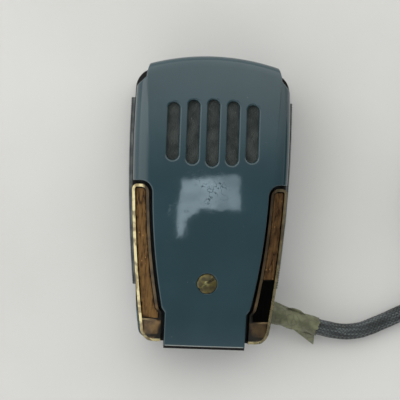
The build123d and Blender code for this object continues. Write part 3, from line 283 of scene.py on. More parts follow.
# The window's reflection: a slanting pane, and a leg that runs on down its left side and flares at the foot
def windowMask(tree, across, along):
    soft, pane, leg = window["soft"], window["pane"], window["leg"]
    flare = mapRange(tree, along, *window["flare"], 0.0, leg["right"][1])
    paneMask = times(
        tree,
        above(tree, slanted(tree, across, along, pane["left"][1]), pane["left"][0], soft),
        under(tree, slanted(tree, across, along, pane["right"][1]), pane["right"][0], soft),
        above(tree, along, pane["low"], soft),
        under(tree, slanted(tree, along, across, pane["high"][1]), pane["high"][0], window["softHigh"]),
    )
    legMask = times(
        tree,
        above(tree, across, leg["left"], soft),
        above(tree, less(tree, flare, across), -leg["right"][0], soft),
        above(tree, slanted(tree, along, across, leg["low"][1]), leg["low"][0], window["softLow"]),
        under(tree, along, leg["high"], soft),
    )
    return most(tree, paneMask, legMask)


def glow(tree, value, name):
    low, high, strength = room[name]
    return mapRange(tree, value, low, high, 0.0, strength)


def makeRoom():
    world = bpy.data.worlds.new("room")
    world.use_nodes = True
    tree = world.node_tree
    tree.nodes.clear()
    sky = addNode(tree, "ShaderNodeTexCoord").outputs["Generated"]
    east, north, up = separate(tree, sky)
    overhead = most(tree, up, window["leastUp"])
    across = mathNode(tree, "DIVIDE", east, overhead)
    along = mathNode(tree, "DIVIDE", north, overhead)
    beyond = times(tree, glow(tree, north, "beyond"), mapRange(tree, east, *room["beyondSlant"]))
    near = glow(tree, times(tree, north, -1.0), "near")
    sides = plus(tree, glow(tree, times(tree, east, -1.0), "left"), glow(tree, east, "right"))
    low, high, strength = room["horizon"]
    horizon = mapRange(tree, up, low, high, strength, 0.0)
    total = plus(tree, beyond, room["base"], near, sides, horizon)
    cloud = texture(tree, "Noise", Vector=sky, **window["cloud"])
    bright = window["bright"]
    away = awayFrom(tree, (across, bright["at"][0]), (along, bright["at"][1]))
    lit = times(
        tree,
        windowMask(tree, across, along),
        mapRange(tree, up, *window["fromUp"]),
        mapRange(tree, cloud.outputs[0], *window["cloudSpan"]),
        mapRange(tree, across, *window["fade"]),
        mapRange(tree, away, 0.0, bright["radius"], 1.0 + bright["lift"], 1.0),
        window["glow"],
    )
    background = addNode(tree, "ShaderNodeAddShader")
    for socket, tint, strength in zip(background.inputs, (room["tint"], window["tint"]), (total, lit)):
        light = feed(tree, addNode(tree, "ShaderNodeBackground"), Color=tint, Strength=strength)
        tree.links.new(light.outputs[0], socket)
    tree.links.new(background.outputs[0], addNode(tree, "ShaderNodeOutputWorld").inputs[0])
    scene.world = world
    scene.view_settings.view_transform = "Standard"


makeRoom()

floorPaint = {
    "half": 3.0,
    "clouds": {"Scale": 9.0, "Detail": 5.0},
    "cloudSpan": (0.3, 0.7),
    "dark": (0.585, 0.582, 0.560),
    "light": (0.63, 0.627, 0.610),
    "roughness": 0.55,
}


def makeFloor():
    mesh = bpy.data.meshes.new("floor")
    half = floorPaint["half"]
    mesh.from_pydata([(-half, -half, 0), (half, -half, 0), (half, half, 0), (-half, half, 0)], [], [(0, 1, 2, 3)])
    floor = bpy.data.objects.new("floor", mesh)
    scene.collection.objects.link(floor)
    material, tree, surface = newMaterial("floorPaint")
    clouds = texture(tree, "Noise", **floorPaint["clouds"])
    share = mapRange(tree, clouds.outputs[0], *floorPaint["cloudSpan"])
    tone = mixColour(tree, share, floorPaint["dark"], floorPaint["light"])
    feed(tree, surface, Base_Color=tone, Roughness=floorPaint["roughness"])
    mesh.materials.append(material)


makeFloor()
print("room and floor made")

# Cord: one route, in metres, from the gland over the floor, round the coil and out to the plug
cord = {
    "diameter": 6.1,
    "exit": (26.5, -40.4, 6.6),
    "coilCentre": (117.0, 5.6),
    "turnPoints": 16,
    "turns": [(39.1, 3.05), (33.0, 3.05), (26.9, 3.05), (30.0, 8.33), (33.0, 13.6), (36.0, 8.33)],
    "lead": [(41.5, -45.0, 5.5), (56.6, -47.7, 3.3), (68.7, -42.5, 3.05), (79.6, -36.9, 3.05), (91.0, -33.9, 3.05)],
    "tail": [
        (123.0, -37.0, 7.4), (134.5, -37.6, 4.4), (145.6, -33.7, 3.05), (155.3, -26.5, 3.05),
        (162.1, -17.4, 3.4), (166.0, -6.6, 5.0), (167.2, 4.4, 6.6),
    ],
    "easeFrom": 0.55,
    "sides": 28,
    "step": 1.0,
    "roughness": 0.03,
    "slack": 0.02,
    "strands": 14,
    "strandRise": 21.0,
    "streaks": (22.0, 90.0),
    "braid": {"Dark": (0.014, 0.017, 0.018), "Light": (0.046, 0.054, 0.055)},
    "pale": (0.128, 0.150, 0.154),
    "gapShade": (0.0035, 0.0038, 0.0038),
    "lint": (0.22, 0.22, 0.19),
}


def coilPoints():
    points = []
    centreX, centreY = cord["coilCentre"]
    count = cord["turnPoints"]
    turns = cord["turns"]
    for index in range(len(turns) * count):
        turn, part = divmod(index, count)
        radius, height = turns[turn]
        if turn + 1 < len(turns):
            nextRadius, nextHeight = turns[turn + 1]
        else:
            nextRadius, nextHeight = radius, height
        ease = max(0.0, (part / count - cord["easeFrom"]) / (1 - cord["easeFrom"]))
        ease = ease * ease * (3 - 2 * ease)
        radius = radius + (nextRadius - radius) * ease
        height = height + (nextHeight - height) * ease
        angle = math.radians(-90) + 2 * math.pi * part / count
        points.append((centreX + radius * math.cos(angle), centreY + radius * math.sin(angle), height))
    return points


def splineObject(name, points):
    curve = bpy.data.curves.new(name, "CURVE")
    curve.dimensions = "3D"
    spline = curve.splines.new("NURBS")
    spline.points.add(len(points) - 1)
    for slot, point in zip(spline.points, points):
        slot.co = (*(value * mm for value in point), 1.0)
    spline.order_u = 3
    spline.use_endpoint_u = True
    spline.resolution_u = 8
    made = bpy.data.objects.new(name, curve)
    scene.collection.objects.link(made)
    return made


def lineOf(curveObject):
    bpy.context.view_layer.update()
    mesh = bpy.data.meshes.new_from_object(curveObject.evaluated_get(bpy.context.evaluated_depsgraph_get()))
    points = [vertex.co.copy() for vertex in mesh.vertices]
    bpy.data.meshes.remove(mesh)
    return points


route = [cord["exit"]] + cord["lead"] + coilPoints() + cord["tail"]
routeCurve = splineObject("cordRoute", route)
linePoints = lineOf(routeCurve)
cordLength = sum((b - a).length for a, b in zip(linePoints, linePoints[1:]))
print("cord length", round(cordLength, 4))


# Shared effects
def effectGroup(name, outputs, **inputs):
    group = bpy.data.node_groups.new(name, "ShaderNodeTree")
    for label, value in inputs.items():
        kind = "Float" if isinstance(value, float) else "Color" if len(value) == 4 else "Vector"
        socket = group.interface.new_socket(name=label, in_out="INPUT", socket_type="NodeSocket" + kind)
        socket.default_value = value
    for label in outputs:
        kind = "Color" if label == "Color" else "Float"
        group.interface.new_socket(name=label, in_out="OUTPUT", socket_type="NodeSocket" + kind)
    return group, group.nodes.new("NodeGroupInput").outputs, group.nodes.new("NodeGroupOutput")


def makeMottle():
    group, entry, leave = effectGroup(
        "mottle", ("Color", "Mask"), Scale=200.0, Detail=5.0, Low=0.35, High=0.65, Dark=(0, 0, 0, 1), Light=(1, 1, 1, 1)
    )
    clouds = texture(group, "Noise", Scale=entry["Scale"], Detail=entry["Detail"])
    mask = mapRange(group, clouds.outputs[0], entry["Low"], entry["High"])
    feed(group, leave, Color=mixColour(group, mask, entry["Dark"], entry["Light"]), Mask=mask)
    return group


def makeSpecks():
    group, entry, leave = effectGroup("specks", ("Mask",), Scale=900.0, Size=0.12, Amount=0.5)
    cells = texture(group, "Voronoi", Scale=entry["Scale"])
    pick = addNode(group, "ShaderNodeSeparateColor")
    group.links.new(cells.outputs["Color"], pick.inputs[0])
    dots = mathNode(group, "LESS_THAN", cells.outputs["Distance"], entry["Size"])
    chosen = mathNode(group, "LESS_THAN", pick.outputs[0], entry["Amount"])
    feed(group, leave, Mask=times(group, dots, chosen))
    return group


def makeHairlines():
    group, entry, leave = effectGroup("hairlines", ("Mask",), Scale=120.0, Thin=0.012, Patches=60.0, Rarity=0.56)
    wander = texture(group, "Noise", Scale=entry["Scale"], Detail=2.0)
    middle = mathNode(group, "ABSOLUTE", less(group, wander.outputs[0], 0.5))
    line = mathNode(group, "LESS_THAN", middle, entry["Thin"])
    where = texture(group, "Noise", Scale=entry["Patches"], Detail=3.0)
    chosen = mathNode(group, "GREATER_THAN", where.outputs[0], entry["Rarity"])
    feed(group, leave, Mask=times(group, line, chosen))
    return group


def makeGrain():
    group, entry, leave = effectGroup("grain", ("Height",), Scale=1500.0, Detail=3.0)
    clouds = texture(group, "Noise", Scale=entry["Scale"], Detail=entry["Detail"])
    feed(group, leave, Height=clouds.outputs[0])
    return group


def makeWeave():
    group, entry, leave = effectGroup("weave", ("Height",), Vector=(0, 0, 0), Threads=2200.0)
    parts = separate(group, entry["Vector"])
    warp, weft = (mathNode(group, "SINE", times(group, parts[index], entry["Threads"])) for index in (0, 1))
    over = mathNode(group, "GREATER_THAN", times(group, warp, weft), 0.0)
    warp = times(group, mathNode(group, "ABSOLUTE", warp), over)
    weft = times(group, mathNode(group, "ABSOLUTE", weft), less(group, 1.0, over))
    feed(group, leave, Height=plus(group, warp, weft))
    return group


effects = {
    "mottle": makeMottle(),
    "specks": makeSpecks(),
    "hairlines": makeHairlines(),
    "grain": makeGrain(),
    "weave": makeWeave(),
}


def useEffect(tree, name, **values):
    return feed(tree, addNode(tree, "ShaderNodeGroup", node_tree=effects[name]), **values)


def addBump(tree, surface, height, strength, distance, before=None):
    bump = feed(tree, addNode(tree, "ShaderNodeBump"), Strength=strength, Distance=distance, Height=height)
    if before is not None:
        feed(tree, bump, Normal=before.outputs[0])
    feed(tree, surface, Normal=bump.outputs[0])
    return bump


def addGrain(tree, surface, scale, detail, strength, distance):
    grain = useEffect(tree, "grain", Scale=scale, Detail=detail)
    return addBump(tree, surface, grain.outputs["Height"], strength, distance)


# Lays specks of a colour over another, as strongly as the share says
def dust(tree, colour, tint, share, **values):
    dots = useEffect(tree, "specks", **values)
    return mixColour(tree, times(tree, dots.outputs["Mask"], share), colour, tint)


def patchyMaterial(name, dark, light, scale=150.0, roughness=(0.4, 0.55), metallic=0.0, grain=(900.0, 0.15, 0.0001),
                   specks=None):
    material, tree, surface = newMaterial(name)
    tone = useEffect(tree, "mottle", Scale=scale, Dark=dark, Light=light)
    colour = tone.outputs["Color"]
    if specks is not None:
        amount, tint = specks
        colour = dust(tree, colour, tint, 1.0, Scale=700.0, Size=0.16, Amount=amount)
    rough = mapRange(tree, tone.outputs["Mask"], 0.0, 1.0, roughness[1], roughness[0])
    feed(tree, surface, Base_Color=colour, Roughness=rough, Metallic=metallic)
    scaleOfGrain, strength, distance = grain
    addGrain(tree, surface, scaleOfGrain, 3.0, strength, distance)
    return material


enamel = {  # spans in millimetres
    "dark": (0.0176, 0.0425, 0.0525),
    "light": (0.0208, 0.0485, 0.0595),
    "speck": (0.16, 0.18, 0.17),
    "speckShare": 0.35,
    # a pale painted highlight along the rounded lip at the tongue's end
    "paintedHighlight": (0.30, 0.33, 0.32),
    "paintedHighlightShare": 0.8,
    "paintedHighlightX": (13.8, 14.6),
    "paintedHighlightY": (-51.95, -51.65),
    "paintedHighlightZ": (16.6, 17.2),
    "gloss": 0.05,
    "scratched": 0.22,
    "curlsAt": (0.5, 5.0),
    "curlsReach": (4.0, 8.0),
    "curlsShare": 0.55,
}


def enamelMaterial():
    material, tree, surface = newMaterial("coverEnamel")
    tone = useEffect(tree, "mottle", Scale=45.0, Detail=3.0, Dark=enamel["dark"], Light=enamel["light"])
    colour = dust(
        tree, tone.outputs["Color"], enamel["speck"], enamel["speckShare"], Scale=420.0, Size=0.07, Amount=0.10
    )
    x, y, z = objectParts(tree)
    # painted highlight: a pale line along the rounded lip at the tongue's end, mixed into the colour
    paintedHighlight = times(
        tree,
        ramp(tree, y, enamel["paintedHighlightY"], falling),
        ramp(tree, mathNode(tree, "ABSOLUTE", x), enamel["paintedHighlightX"], (enamel["paintedHighlightShare"], 0.0)),
        ramp(tree, z, enamel["paintedHighlightZ"]),
    )
    lines = useEffect(tree, "hairlines", Scale=330.0, Thin=0.007, Patches=120.0, Rarity=0.60).outputs["Mask"]
    curls = useEffect(tree, "hairlines", Scale=420.0, Thin=0.016, Patches=260.0, Rarity=0.50).outputs["Mask"]
    curlX, curlY = enamel["curlsAt"]
    away = awayFrom(tree, (x, curlX * mm), (y, curlY * mm))
    curls = times(tree, curls, ramp(tree, away, enamel["curlsReach"], (enamel["curlsShare"], 0.0)))
    rough = most(tree, mapRange(tree, lines, 0.0, 1.0, enamel["gloss"], enamel["scratched"]), curls)
    feed(tree, surface, Base_Color=mixColour(tree, paintedHighlight, colour, enamel["paintedHighlight"]), Roughness=rough)
    first = addGrain(tree, surface, 260.0, 1.0, 0.03, 0.0004)
    addBump(tree, surface, less(tree, 1.0, lines), 0.06, 0.00002, before=first)
    return material


# Helpers for meshes in millimetres
def newPiece(name, points, faces, material):
    mesh = bpy.data.meshes.new(name)
    mesh.from_pydata([tuple(float(value) * mm for value in point) for point in points], [], faces)
    mesh.materials.append(material)
    mesh.shade_smooth()
    made = bpy.data.objects.new(name, mesh)
    scene.collection.objects.link(made)
    return made


def settle(piece, body, replaced):
    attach(piece, body)
    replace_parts(piece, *replaced)


def bake(piece):
    bpy.context.view_layer.update()
    mesh = bpy.data.meshes.new_from_object(piece.evaluated_get(bpy.context.evaluated_depsgraph_get()))
    piece.modifiers.clear()
    piece.data = mesh
    return mesh


def evenPoints(points, step):
    flat = np.array([tuple(point) for point in points])
    runs = np.linalg.norm(np.diff(flat, axis=0), axis=1)
    along = np.concatenate([[0.0], np.cumsum(runs)])
    places = np.linspace(0.0, along[-1], max(2, int(round(along[-1] / step)) + 1))
    return np.stack([np.interp(places, along, flat[:, axis]) for axis in range(3)], axis=1), places


def carriedFrames(points):
    tangents = np.gradient(points, axis=0)
    tangents /= np.linalg.norm(tangents, axis=1)[:, None]
    side = np.cross(tangents[0], (0.0, 0.0, 1.0))
    side /= np.linalg.norm(side)
    sides = [side]
    for tangent in tangents[1:]:
        side = side - tangent * np.dot(side, tangent)
        side = side / np.linalg.norm(side)
        sides.append(side)
    sides = np.array(sides)
    return tangents, sides, np.cross(sides, tangents)


def insidePolygon(points, polygon):
    x, y = points[:, 0], points[:, 1]
    inside = np.zeros(len(points), bool)
    for (ax, ay), (bx, by) in zip(polygon, np.roll(polygon, -1, axis=0)):
        crosses = (ay > y) != (by > y)
        if ay != by:
            inside ^= crosses & (x < (bx - ax) * (y - ay) / (by - ay) + ax)
    return inside


def lineDistance(x, y, line):
    best = np.full(np.shape(x), 1e9)
    for (ax, ay), (bx, by) in zip(line, line[1:]):
        runX, runY = bx - ax, by - ay
        share = ((x - ax) * runX + (y - ay) * runY) / (runX * runX + runY * runY + 1e-12)
        share = np.clip(share, 0.0, 1.0)
        best = np.minimum(best, np.hypot(x - ax - share * runX, y - ay - share * runY))
    return best


# A tube's faces, ring after ring, and the turn and ring at each of their corners
def tubeFaces(rings, count):
    faces, corners = [], []
    for ring in range(rings):
        near, far = ring * count, (ring + 1) * count
        for part in range(count):
            after = (part + 1) % count
            faces.append((near + after, near + part, far + part, far + after))
            corners.append([(part + 1, ring), (part, ring), (part, ring + 1), (part + 1, ring + 1)])
    return faces, corners


def layUv(piece, corners):
    layer = piece.data.uv_layers.new(name="along")
    for face, places in zip(piece.data.polygons, corners):
        for loop, place in zip(face.loop_indices, places):
            layer.data[loop].uv = place


# Cord: braided sleeve, followed point by point along its own spline
def braidMaterial():
    material, tree, surface = newMaterial("wornBraid")
    parts = separate(tree, addNode(tree, "ShaderNodeUVMap", uv_map="along").outputs[0])
    around = times(tree, parts[0], cord["strands"])
    down = times(tree, parts[1], cord["strands"] / cord["strandRise"] / mm)
    strands = combine(tree, plus(tree, around, down), less(tree, around, down))
    braid = useEffect(tree, "weave", Vector=strands, Threads=math.pi).outputs["Height"]
    age = useEffect(tree, "mottle", Scale=95.0, Detail=4.0, **cord["braid"])
    streakPlace = combine(tree, *(times(tree, part, scale) for part, scale in zip(parts, cord["streaks"])))
    streaks = texture(tree, "Noise", Vector=streakPlace, Scale=1.0, Detail=4.0)
    pale = mapRange(tree, streaks.outputs[0], 0.47, 0.61, 0.0, 0.78)
    colour = mixColour(tree, pale, age.outputs["Color"], cord["pale"])
    # painted shade between the braid strands
    gapShade = mapRange(tree, braid, 0.10, 0.85, 0.95, 0.0)
    colour = mixColour(tree, gapShade, colour, cord["gapShade"])
    colour = dust(tree, colour, cord["lint"], 0.45, Scale=1100.0, Size=0.26, Amount=0.10)
    feed(tree, surface, Base_Color=colour, Roughness=0.72, Specular_IOR_Level=0.25)
    feed(tree, surface, Sheen_Weight=0.12, Sheen_Roughness=0.5)
    addBump(tree, surface, braid, 0.9, 0.00030)
    return material


def makeCord():
    points, places = evenPoints([point / mm for point in linePoints], cord["step"])
    sides, ups = carriedFrames(points)[1:]
    count = cord["sides"]
    radius = cord["diameter"] / 2
    vertices = []
    for point, side, up in zip(points, sides, ups):
        for angle in np.linspace(0.0, 2 * math.pi, count, endpoint=False):
            out = side * math.cos(angle) + up * math.sin(angle)
            rough = noise.noise(Vector(point + out * 2.0) * 0.55) * cord["roughness"]
            vertices.append(point + out * radius * (1.0 + rough - cord["slack"]))
    faces, corners = tubeFaces(len(points) - 1, count)
    faces.append(tuple(range(count)))
    faces.append(tuple((len(points) - 1) * count + part for part in reversed(range(count))))
    made = newPiece("cordSleeve", vertices, faces, braidMaterial())
    layUv(made, [[(turn / count, places[step] * mm) for turn, step in corner] for corner in corners])
    settle(made, "housing", ("cord", "cord_coil", "cord_tail"))
    return made, points


cordSleeve, cordPath = makeCord()
bpy.data.objects.remove(routeCurve)
print("cord made")

# Front cover: enamelled shell with its slots, screw sink, tongue and the band that wraps the sound end
cover = {
    "rollRadius": 6.0,
    "flankEndY": 41.5,
    "flankEndRun": 3.4,
    "flankEndRise": 3.2,
    "bandTop": 53.2,
    "bandRoll": 4.0,
    "bandSide": [(20.0, 12.0), (23.0, 24.0), (24.3, 46.4), (23.4, 49.79)],
    "creaseSoft": (-0.15, 0.35),
    "tongueHalf": 20.95,
    "tongueWidestY": 12.0,
    "tongueSide": 252.0,
    "stepY": -38.4,
    "stepRun": 1.6,
    "tongueEndHalf": 14.7,
    "tongueEndY": -52.15,
    "pocketTop": 7.2,
    "archRadius": 4.2,
    "wall": 1.6,
    "slotPitch": 7.1,
    "slotWidth": 4.3,
    "slotSpans": [(37.0, 13.0), (36.6, 13.6), (35.5, 14.8)],
    "slotLip": 0.75,
    "edgeLip": 0.45,
    "sinkRadius": 3.67,
    "sinkFloorZ": 27.08,
    "sinkBore": 2.5,
    "sinkLip": 0.3,
    "spacing": 0.8,
    "gridStep": 1.05,
    "underStep": 1.8,
    "rollRows": (0.80, 1.40, 2.14, 3.0, 3.95, 4.96, 6.0),
    "bandRows": (-0.25, -0.15, 0.0, 0.12, 0.25, 0.38),
    "topRows": (0.80, 1.20, 1.60, 2.2, 3.0, 4.0),
    "lipSteps": (0.0, 0.035, 0.13, 0.28, 0.46),
    "skirtHalf": 20.0,
    "skirtTopZ": 15.0,
    "skirtLowZ": 8.0,
    "skirtBevel": 0.35,
    "skirtWall": 1.3,
}
outlineCounts = {  # points along each stretch of the half outline, from the screw end to the sound end
    "end": 18, "side": 14, "step": 3, "tongue": 52, "arch": 12, "shelf": 4,
    "flank": 42, "slant": 6, "shoulder": 2, "corner": 4, "top": 29,
}


def countBefore(stretch):
    names = list(outlineCounts)
    return sum(outlineCounts[name] for name in names[:names.index(stretch)])


def tongueX(y):
    reach = cover["tongueSide"]
    return cover["tongueHalf"] - reach + np.sqrt(reach**2 - (y - cover["tongueWidestY"]) ** 2)


def runPoints(start, finish, count):
    shares = np.arange(count) / count
    return [(start[0] + (finish[0] - start[0]) * share, start[1] + (finish[1] - start[1]) * share) for share in shares]


def coverHalfOutline(inset):
    counts = outlineCounts
    stepY, archY = cover["stepY"], cover["pocketTop"] - cover["archRadius"]
    endHalf, endY = cover["tongueEndHalf"] - inset, cover["tongueEndY"] + inset
    archX = float(tongueX(archY)) + cover["archRadius"]
    reach = cover["archRadius"] + inset
    shelfY = cover["pocketTop"] + inset
    flankHalf = shape["coverHalfWidth"] - inset
    flankEndY = cover["flankEndY"] - inset * 0.4
    flankEndX = float(flankX(flankHalf, flankEndY))
    shoulderX, shoulderY = cover["bandSide"][2][0] - inset, cover["bandSide"][2][1]
    cornerX = cover["bandSide"][3][0] - inset
    cornerY = float(arcY(cover["bandTop"] - inset, cornerX))
    line = runPoints((0, endY), (endHalf, endY), counts["end"])
    line += runPoints((endHalf, endY), (endHalf, stepY - cover["stepRun"]), counts["side"])
    line += runPoints((endHalf, stepY - cover["stepRun"]), (float(tongueX(stepY)) - inset, stepY), counts["step"])
    for y in np.linspace(stepY, archY, counts["tongue"], endpoint=False):
        line.append((float(tongueX(y)) - inset, float(y)))
    for angle in np.linspace(math.pi, math.pi / 2, counts["arch"], endpoint=False):
        line.append((archX + reach * math.cos(angle), archY + reach * math.sin(angle)))
    line += runPoints((archX, shelfY), (float(flankX(flankHalf, shelfY)), shelfY), counts["shelf"])
    for y in np.linspace(shelfY, flankEndY, counts["flank"], endpoint=False):
        line.append((float(flankX(flankHalf, y)), float(y)))
    slant = (flankEndX - cover["flankEndRun"], flankEndY + cover["flankEndRise"])
    line += runPoints((flankEndX, flankEndY), slant, counts["slant"])
    line += runPoints(slant, (shoulderX, shoulderY), counts["shoulder"])
    line += runPoints((shoulderX, shoulderY), (cornerX, cornerY), counts["corner"])
    for x in np.linspace(cornerX, 0, counts["top"], endpoint=False):
        line.append((float(x), float(arcY(cover["bandTop"] - inset, x))))
    line.append((0.0, cover["bandTop"] - inset))
    return line


def coverOutline(inset):
    half = coverHalfOutline(inset)
    return np.array(half + [(-x, y) for x, y in reversed(half[1:-1])])


def slotLoop(index, grow):
    high, low = cover["slotSpans"][abs(index)]
    radius = cover["slotWidth"] / 2
    centreX = index * cover["slotPitch"]
    loop = []
    for centreY, startAngle in ((high - radius, 0.0), (low + radius, math.pi)):
        for angle in np.linspace(startAngle, startAngle + math.pi, 17):
            loop.append((centreX + (radius + grow) * math.cos(angle), centreY + (radius + grow) * math.sin(angle)))
    full = []
    for (ax, ay), (bx, by) in zip(loop, loop[1:] + loop[:1]):
        pieces = max(1, int(round(math.hypot(bx - ax, by - ay) / cover["spacing"]))) if abs(by - ay) > 4 else 1
        full += runPoints((ax, ay), (bx, by), pieces)
    return np.array(full)


def sinkLoop(grow, count=48):
    angles = np.linspace(0, 2 * math.pi, count, endpoint=False)
    radius = cover["sinkRadius"] + grow
    return np.stack([radius * np.cos(angles), shape["screwY"] + radius * np.sin(angles)], axis=1)


def quarterDrop(distance, radius):
    left = np.clip(radius - distance, 0.0, radius)
    return radius - np.sqrt(radius**2 - left**2)


# The stretches of the outline whose edge is a narrow lip
halfLine = coverHalfOutline(0.0)
lipSpans = ((0, countBefore("flank") + 1), (countBefore("slant"), countBefore("top") + 1))
lipLines = [[(side * x, y) for x, y in halfLine[first:last]] for side in (-1, 1) for first, last in lipSpans]


def slotDistance(x, y):
    best = np.full(np.shape(x), 1e9)
    radius = cover["slotWidth"] / 2
    for index in range(-2, 3):
        high, low = cover["slotSpans"][abs(index)]
        offY = y - np.clip(y, low + radius, high - radius)
        best = np.minimum(best, np.hypot(x - index * cover["slotPitch"], offY) - radius)
    return best


def smoothStep(value, low, high):
    share = np.clip((value - low) / (high - low), 0.0, 1.0)
    return share * share * (3 - 2 * share)


def coverZ(x, y, lips=True, inset=0.0):
    radius = cover["rollRadius"] - inset
    across = np.abs(x)
    roll = np.clip(across - flankX(shape["coverHalfWidth"], y) + cover["rollRadius"], 0.0, radius)
    rollDrop = radius - np.sqrt(radius**2 - roll**2)
    sides = np.array(cover["bandSide"])
    beyond = across - np.interp(y, sides[:, 1], sides[:, 0])
    outside = smoothStep(beyond, *cover["creaseSoft"])
    bandRadius = cover["bandRoll"] - inset
    topDrop = quarterDrop(arcY(cover["bandTop"] - inset, np.clip(x, -30, 30)) - y, bandRadius)
    drop = rollDrop * outside + topDrop
    if lips:
        drop = drop + quarterDrop(np.maximum(slotDistance(x, y), 0.0), cover["slotLip"])
        sinkAway = np.hypot(x, y - shape["screwY"]) - cover["sinkRadius"]
        drop = drop + quarterDrop(np.maximum(sinkAway, 0.0), cover["sinkLip"])
        edge = np.minimum.reduce([lineDistance(x, y, line) for line in lipLines])
        drop = drop + quarterDrop(edge, cover["edgeLip"])
    return domeZ(x, y) - inset - drop


def triangulate(loops, extra, keepInside, keepOutside):
    points = [tuple(point) for loop in loops for point in loop]
    edges = []
    start = 0
    for loop in loops:
        edges += [(start + index, start + (index + 1) % len(loop)) for index in range(len(loop))]
        start += len(loop)
    points += [tuple(point) for point in extra]
    made = geometry.delaunay_2d_cdt([Vector(point) for point in points], edges, [], 0, 1e-5)
    flat = np.array([tuple(point) for point in made[0]])
    faces = np.array([face if len(face) == 3 else face[:3] for face in made[2]])
    middles = flat[faces].mean(axis=1)
    keep = insidePolygon(middles, keepInside)
    for hole in keepOutside:
        keep &= ~insidePolygon(middles, hole)
    origin = {}
    for index, sources in enumerate(made[3]):
        for source in sources:
            origin[source] = index
    return flat, [tuple(int(value) for value in face) for face in faces[keep]], origin


def coverSkin():
    lipSteps = cover["lipSteps"]
    outer = [coverOutline(step) for step in lipSteps]
    holes = [[slotLoop(index, step * 1.65) for step in lipSteps] for index in range(-2, 3)]
    holes.append([sinkLoop(step * 0.7) for step in lipSteps])
    loops = outer + [loop for hole in holes for loop in hole]
    extra = []
    for side in (-1, 1):
        for depth in cover["rollRows"]:
            for y in np.arange(8.6, 41.0, cover["spacing"]):
                extra.append((side * float(flankX(shape["coverHalfWidth"] - depth, y)), y))
        for y in np.arange(12.0, 46.0, 0.7):
            bandX = np.interp(y, *np.array(cover["bandSide"]).T[::-1])
            extra += [(side * (bandX + off), y) for off in cover["bandRows"]]
    for depth in cover["topRows"]:
        extra += [(x, float(arcY(cover["bandTop"] - depth, x))) for x in np.arange(-22.4, 22.5, cover["spacing"])]
    step = cover["gridStep"]
    for row, y in enumerate(np.arange(-50.7, 50.0, step * 0.87)):
        extra += [(x + (row % 2) * step / 2, y) for x in np.arange(-27.3, 27.4, step)]
    extra = np.array(extra)
    outline = outer[0]
    keep = insidePolygon(extra, outline)
    keep &= lineDistance(extra[:, 0], extra[:, 1], np.vstack([outline, outline[:1]])) > 0.62
    keep &= slotDistance(extra[:, 0], extra[:, 1]) > 1.0
    keep &= np.hypot(extra[:, 0], extra[:, 1] - shape["screwY"]) > cover["sinkRadius"] + 0.5
    return loops, holes, extra[keep], outline


def orient(flat, face):
    (ax, ay), (bx, by), (cx, cy) = (flat[index] for index in face)
    return (bx - ax) * (cy - ay) - (by - ay) * (cx - ax)


def addSkirt(vertices, faces):
    top, low, bevel = cover["skirtTopZ"], cover["skirtLowZ"], cover["skirtBevel"]
    columns = np.linspace(-cover["skirtHalf"], cover["skirtHalf"], 41)
    start = len(vertices)
    for px in columns:
        outerY = float(arcY(cover["bandTop"], px))
        innerY = float(arcY(cover["bandTop"] - cover["skirtWall"], px))
        section = (
            (outerY, top), (outerY, low + bevel), (outerY - bevel, low), (innerY, low), (innerY, top)
        )
        vertices += [(px, py, pz) for py, pz in section]
    for column in range(len(columns) - 1):
        for row in range(5):
            near, far = start + column * 5, start + (column + 1) * 5
            after = (row + 1) % 5
            faces.append((near + row, near + after, far + after, far + row))
    last = start + (len(columns) - 1) * 5
    faces.append(tuple(start + row for row in reversed(range(5))))
    faces.append(tuple(last + row for row in range(5)))


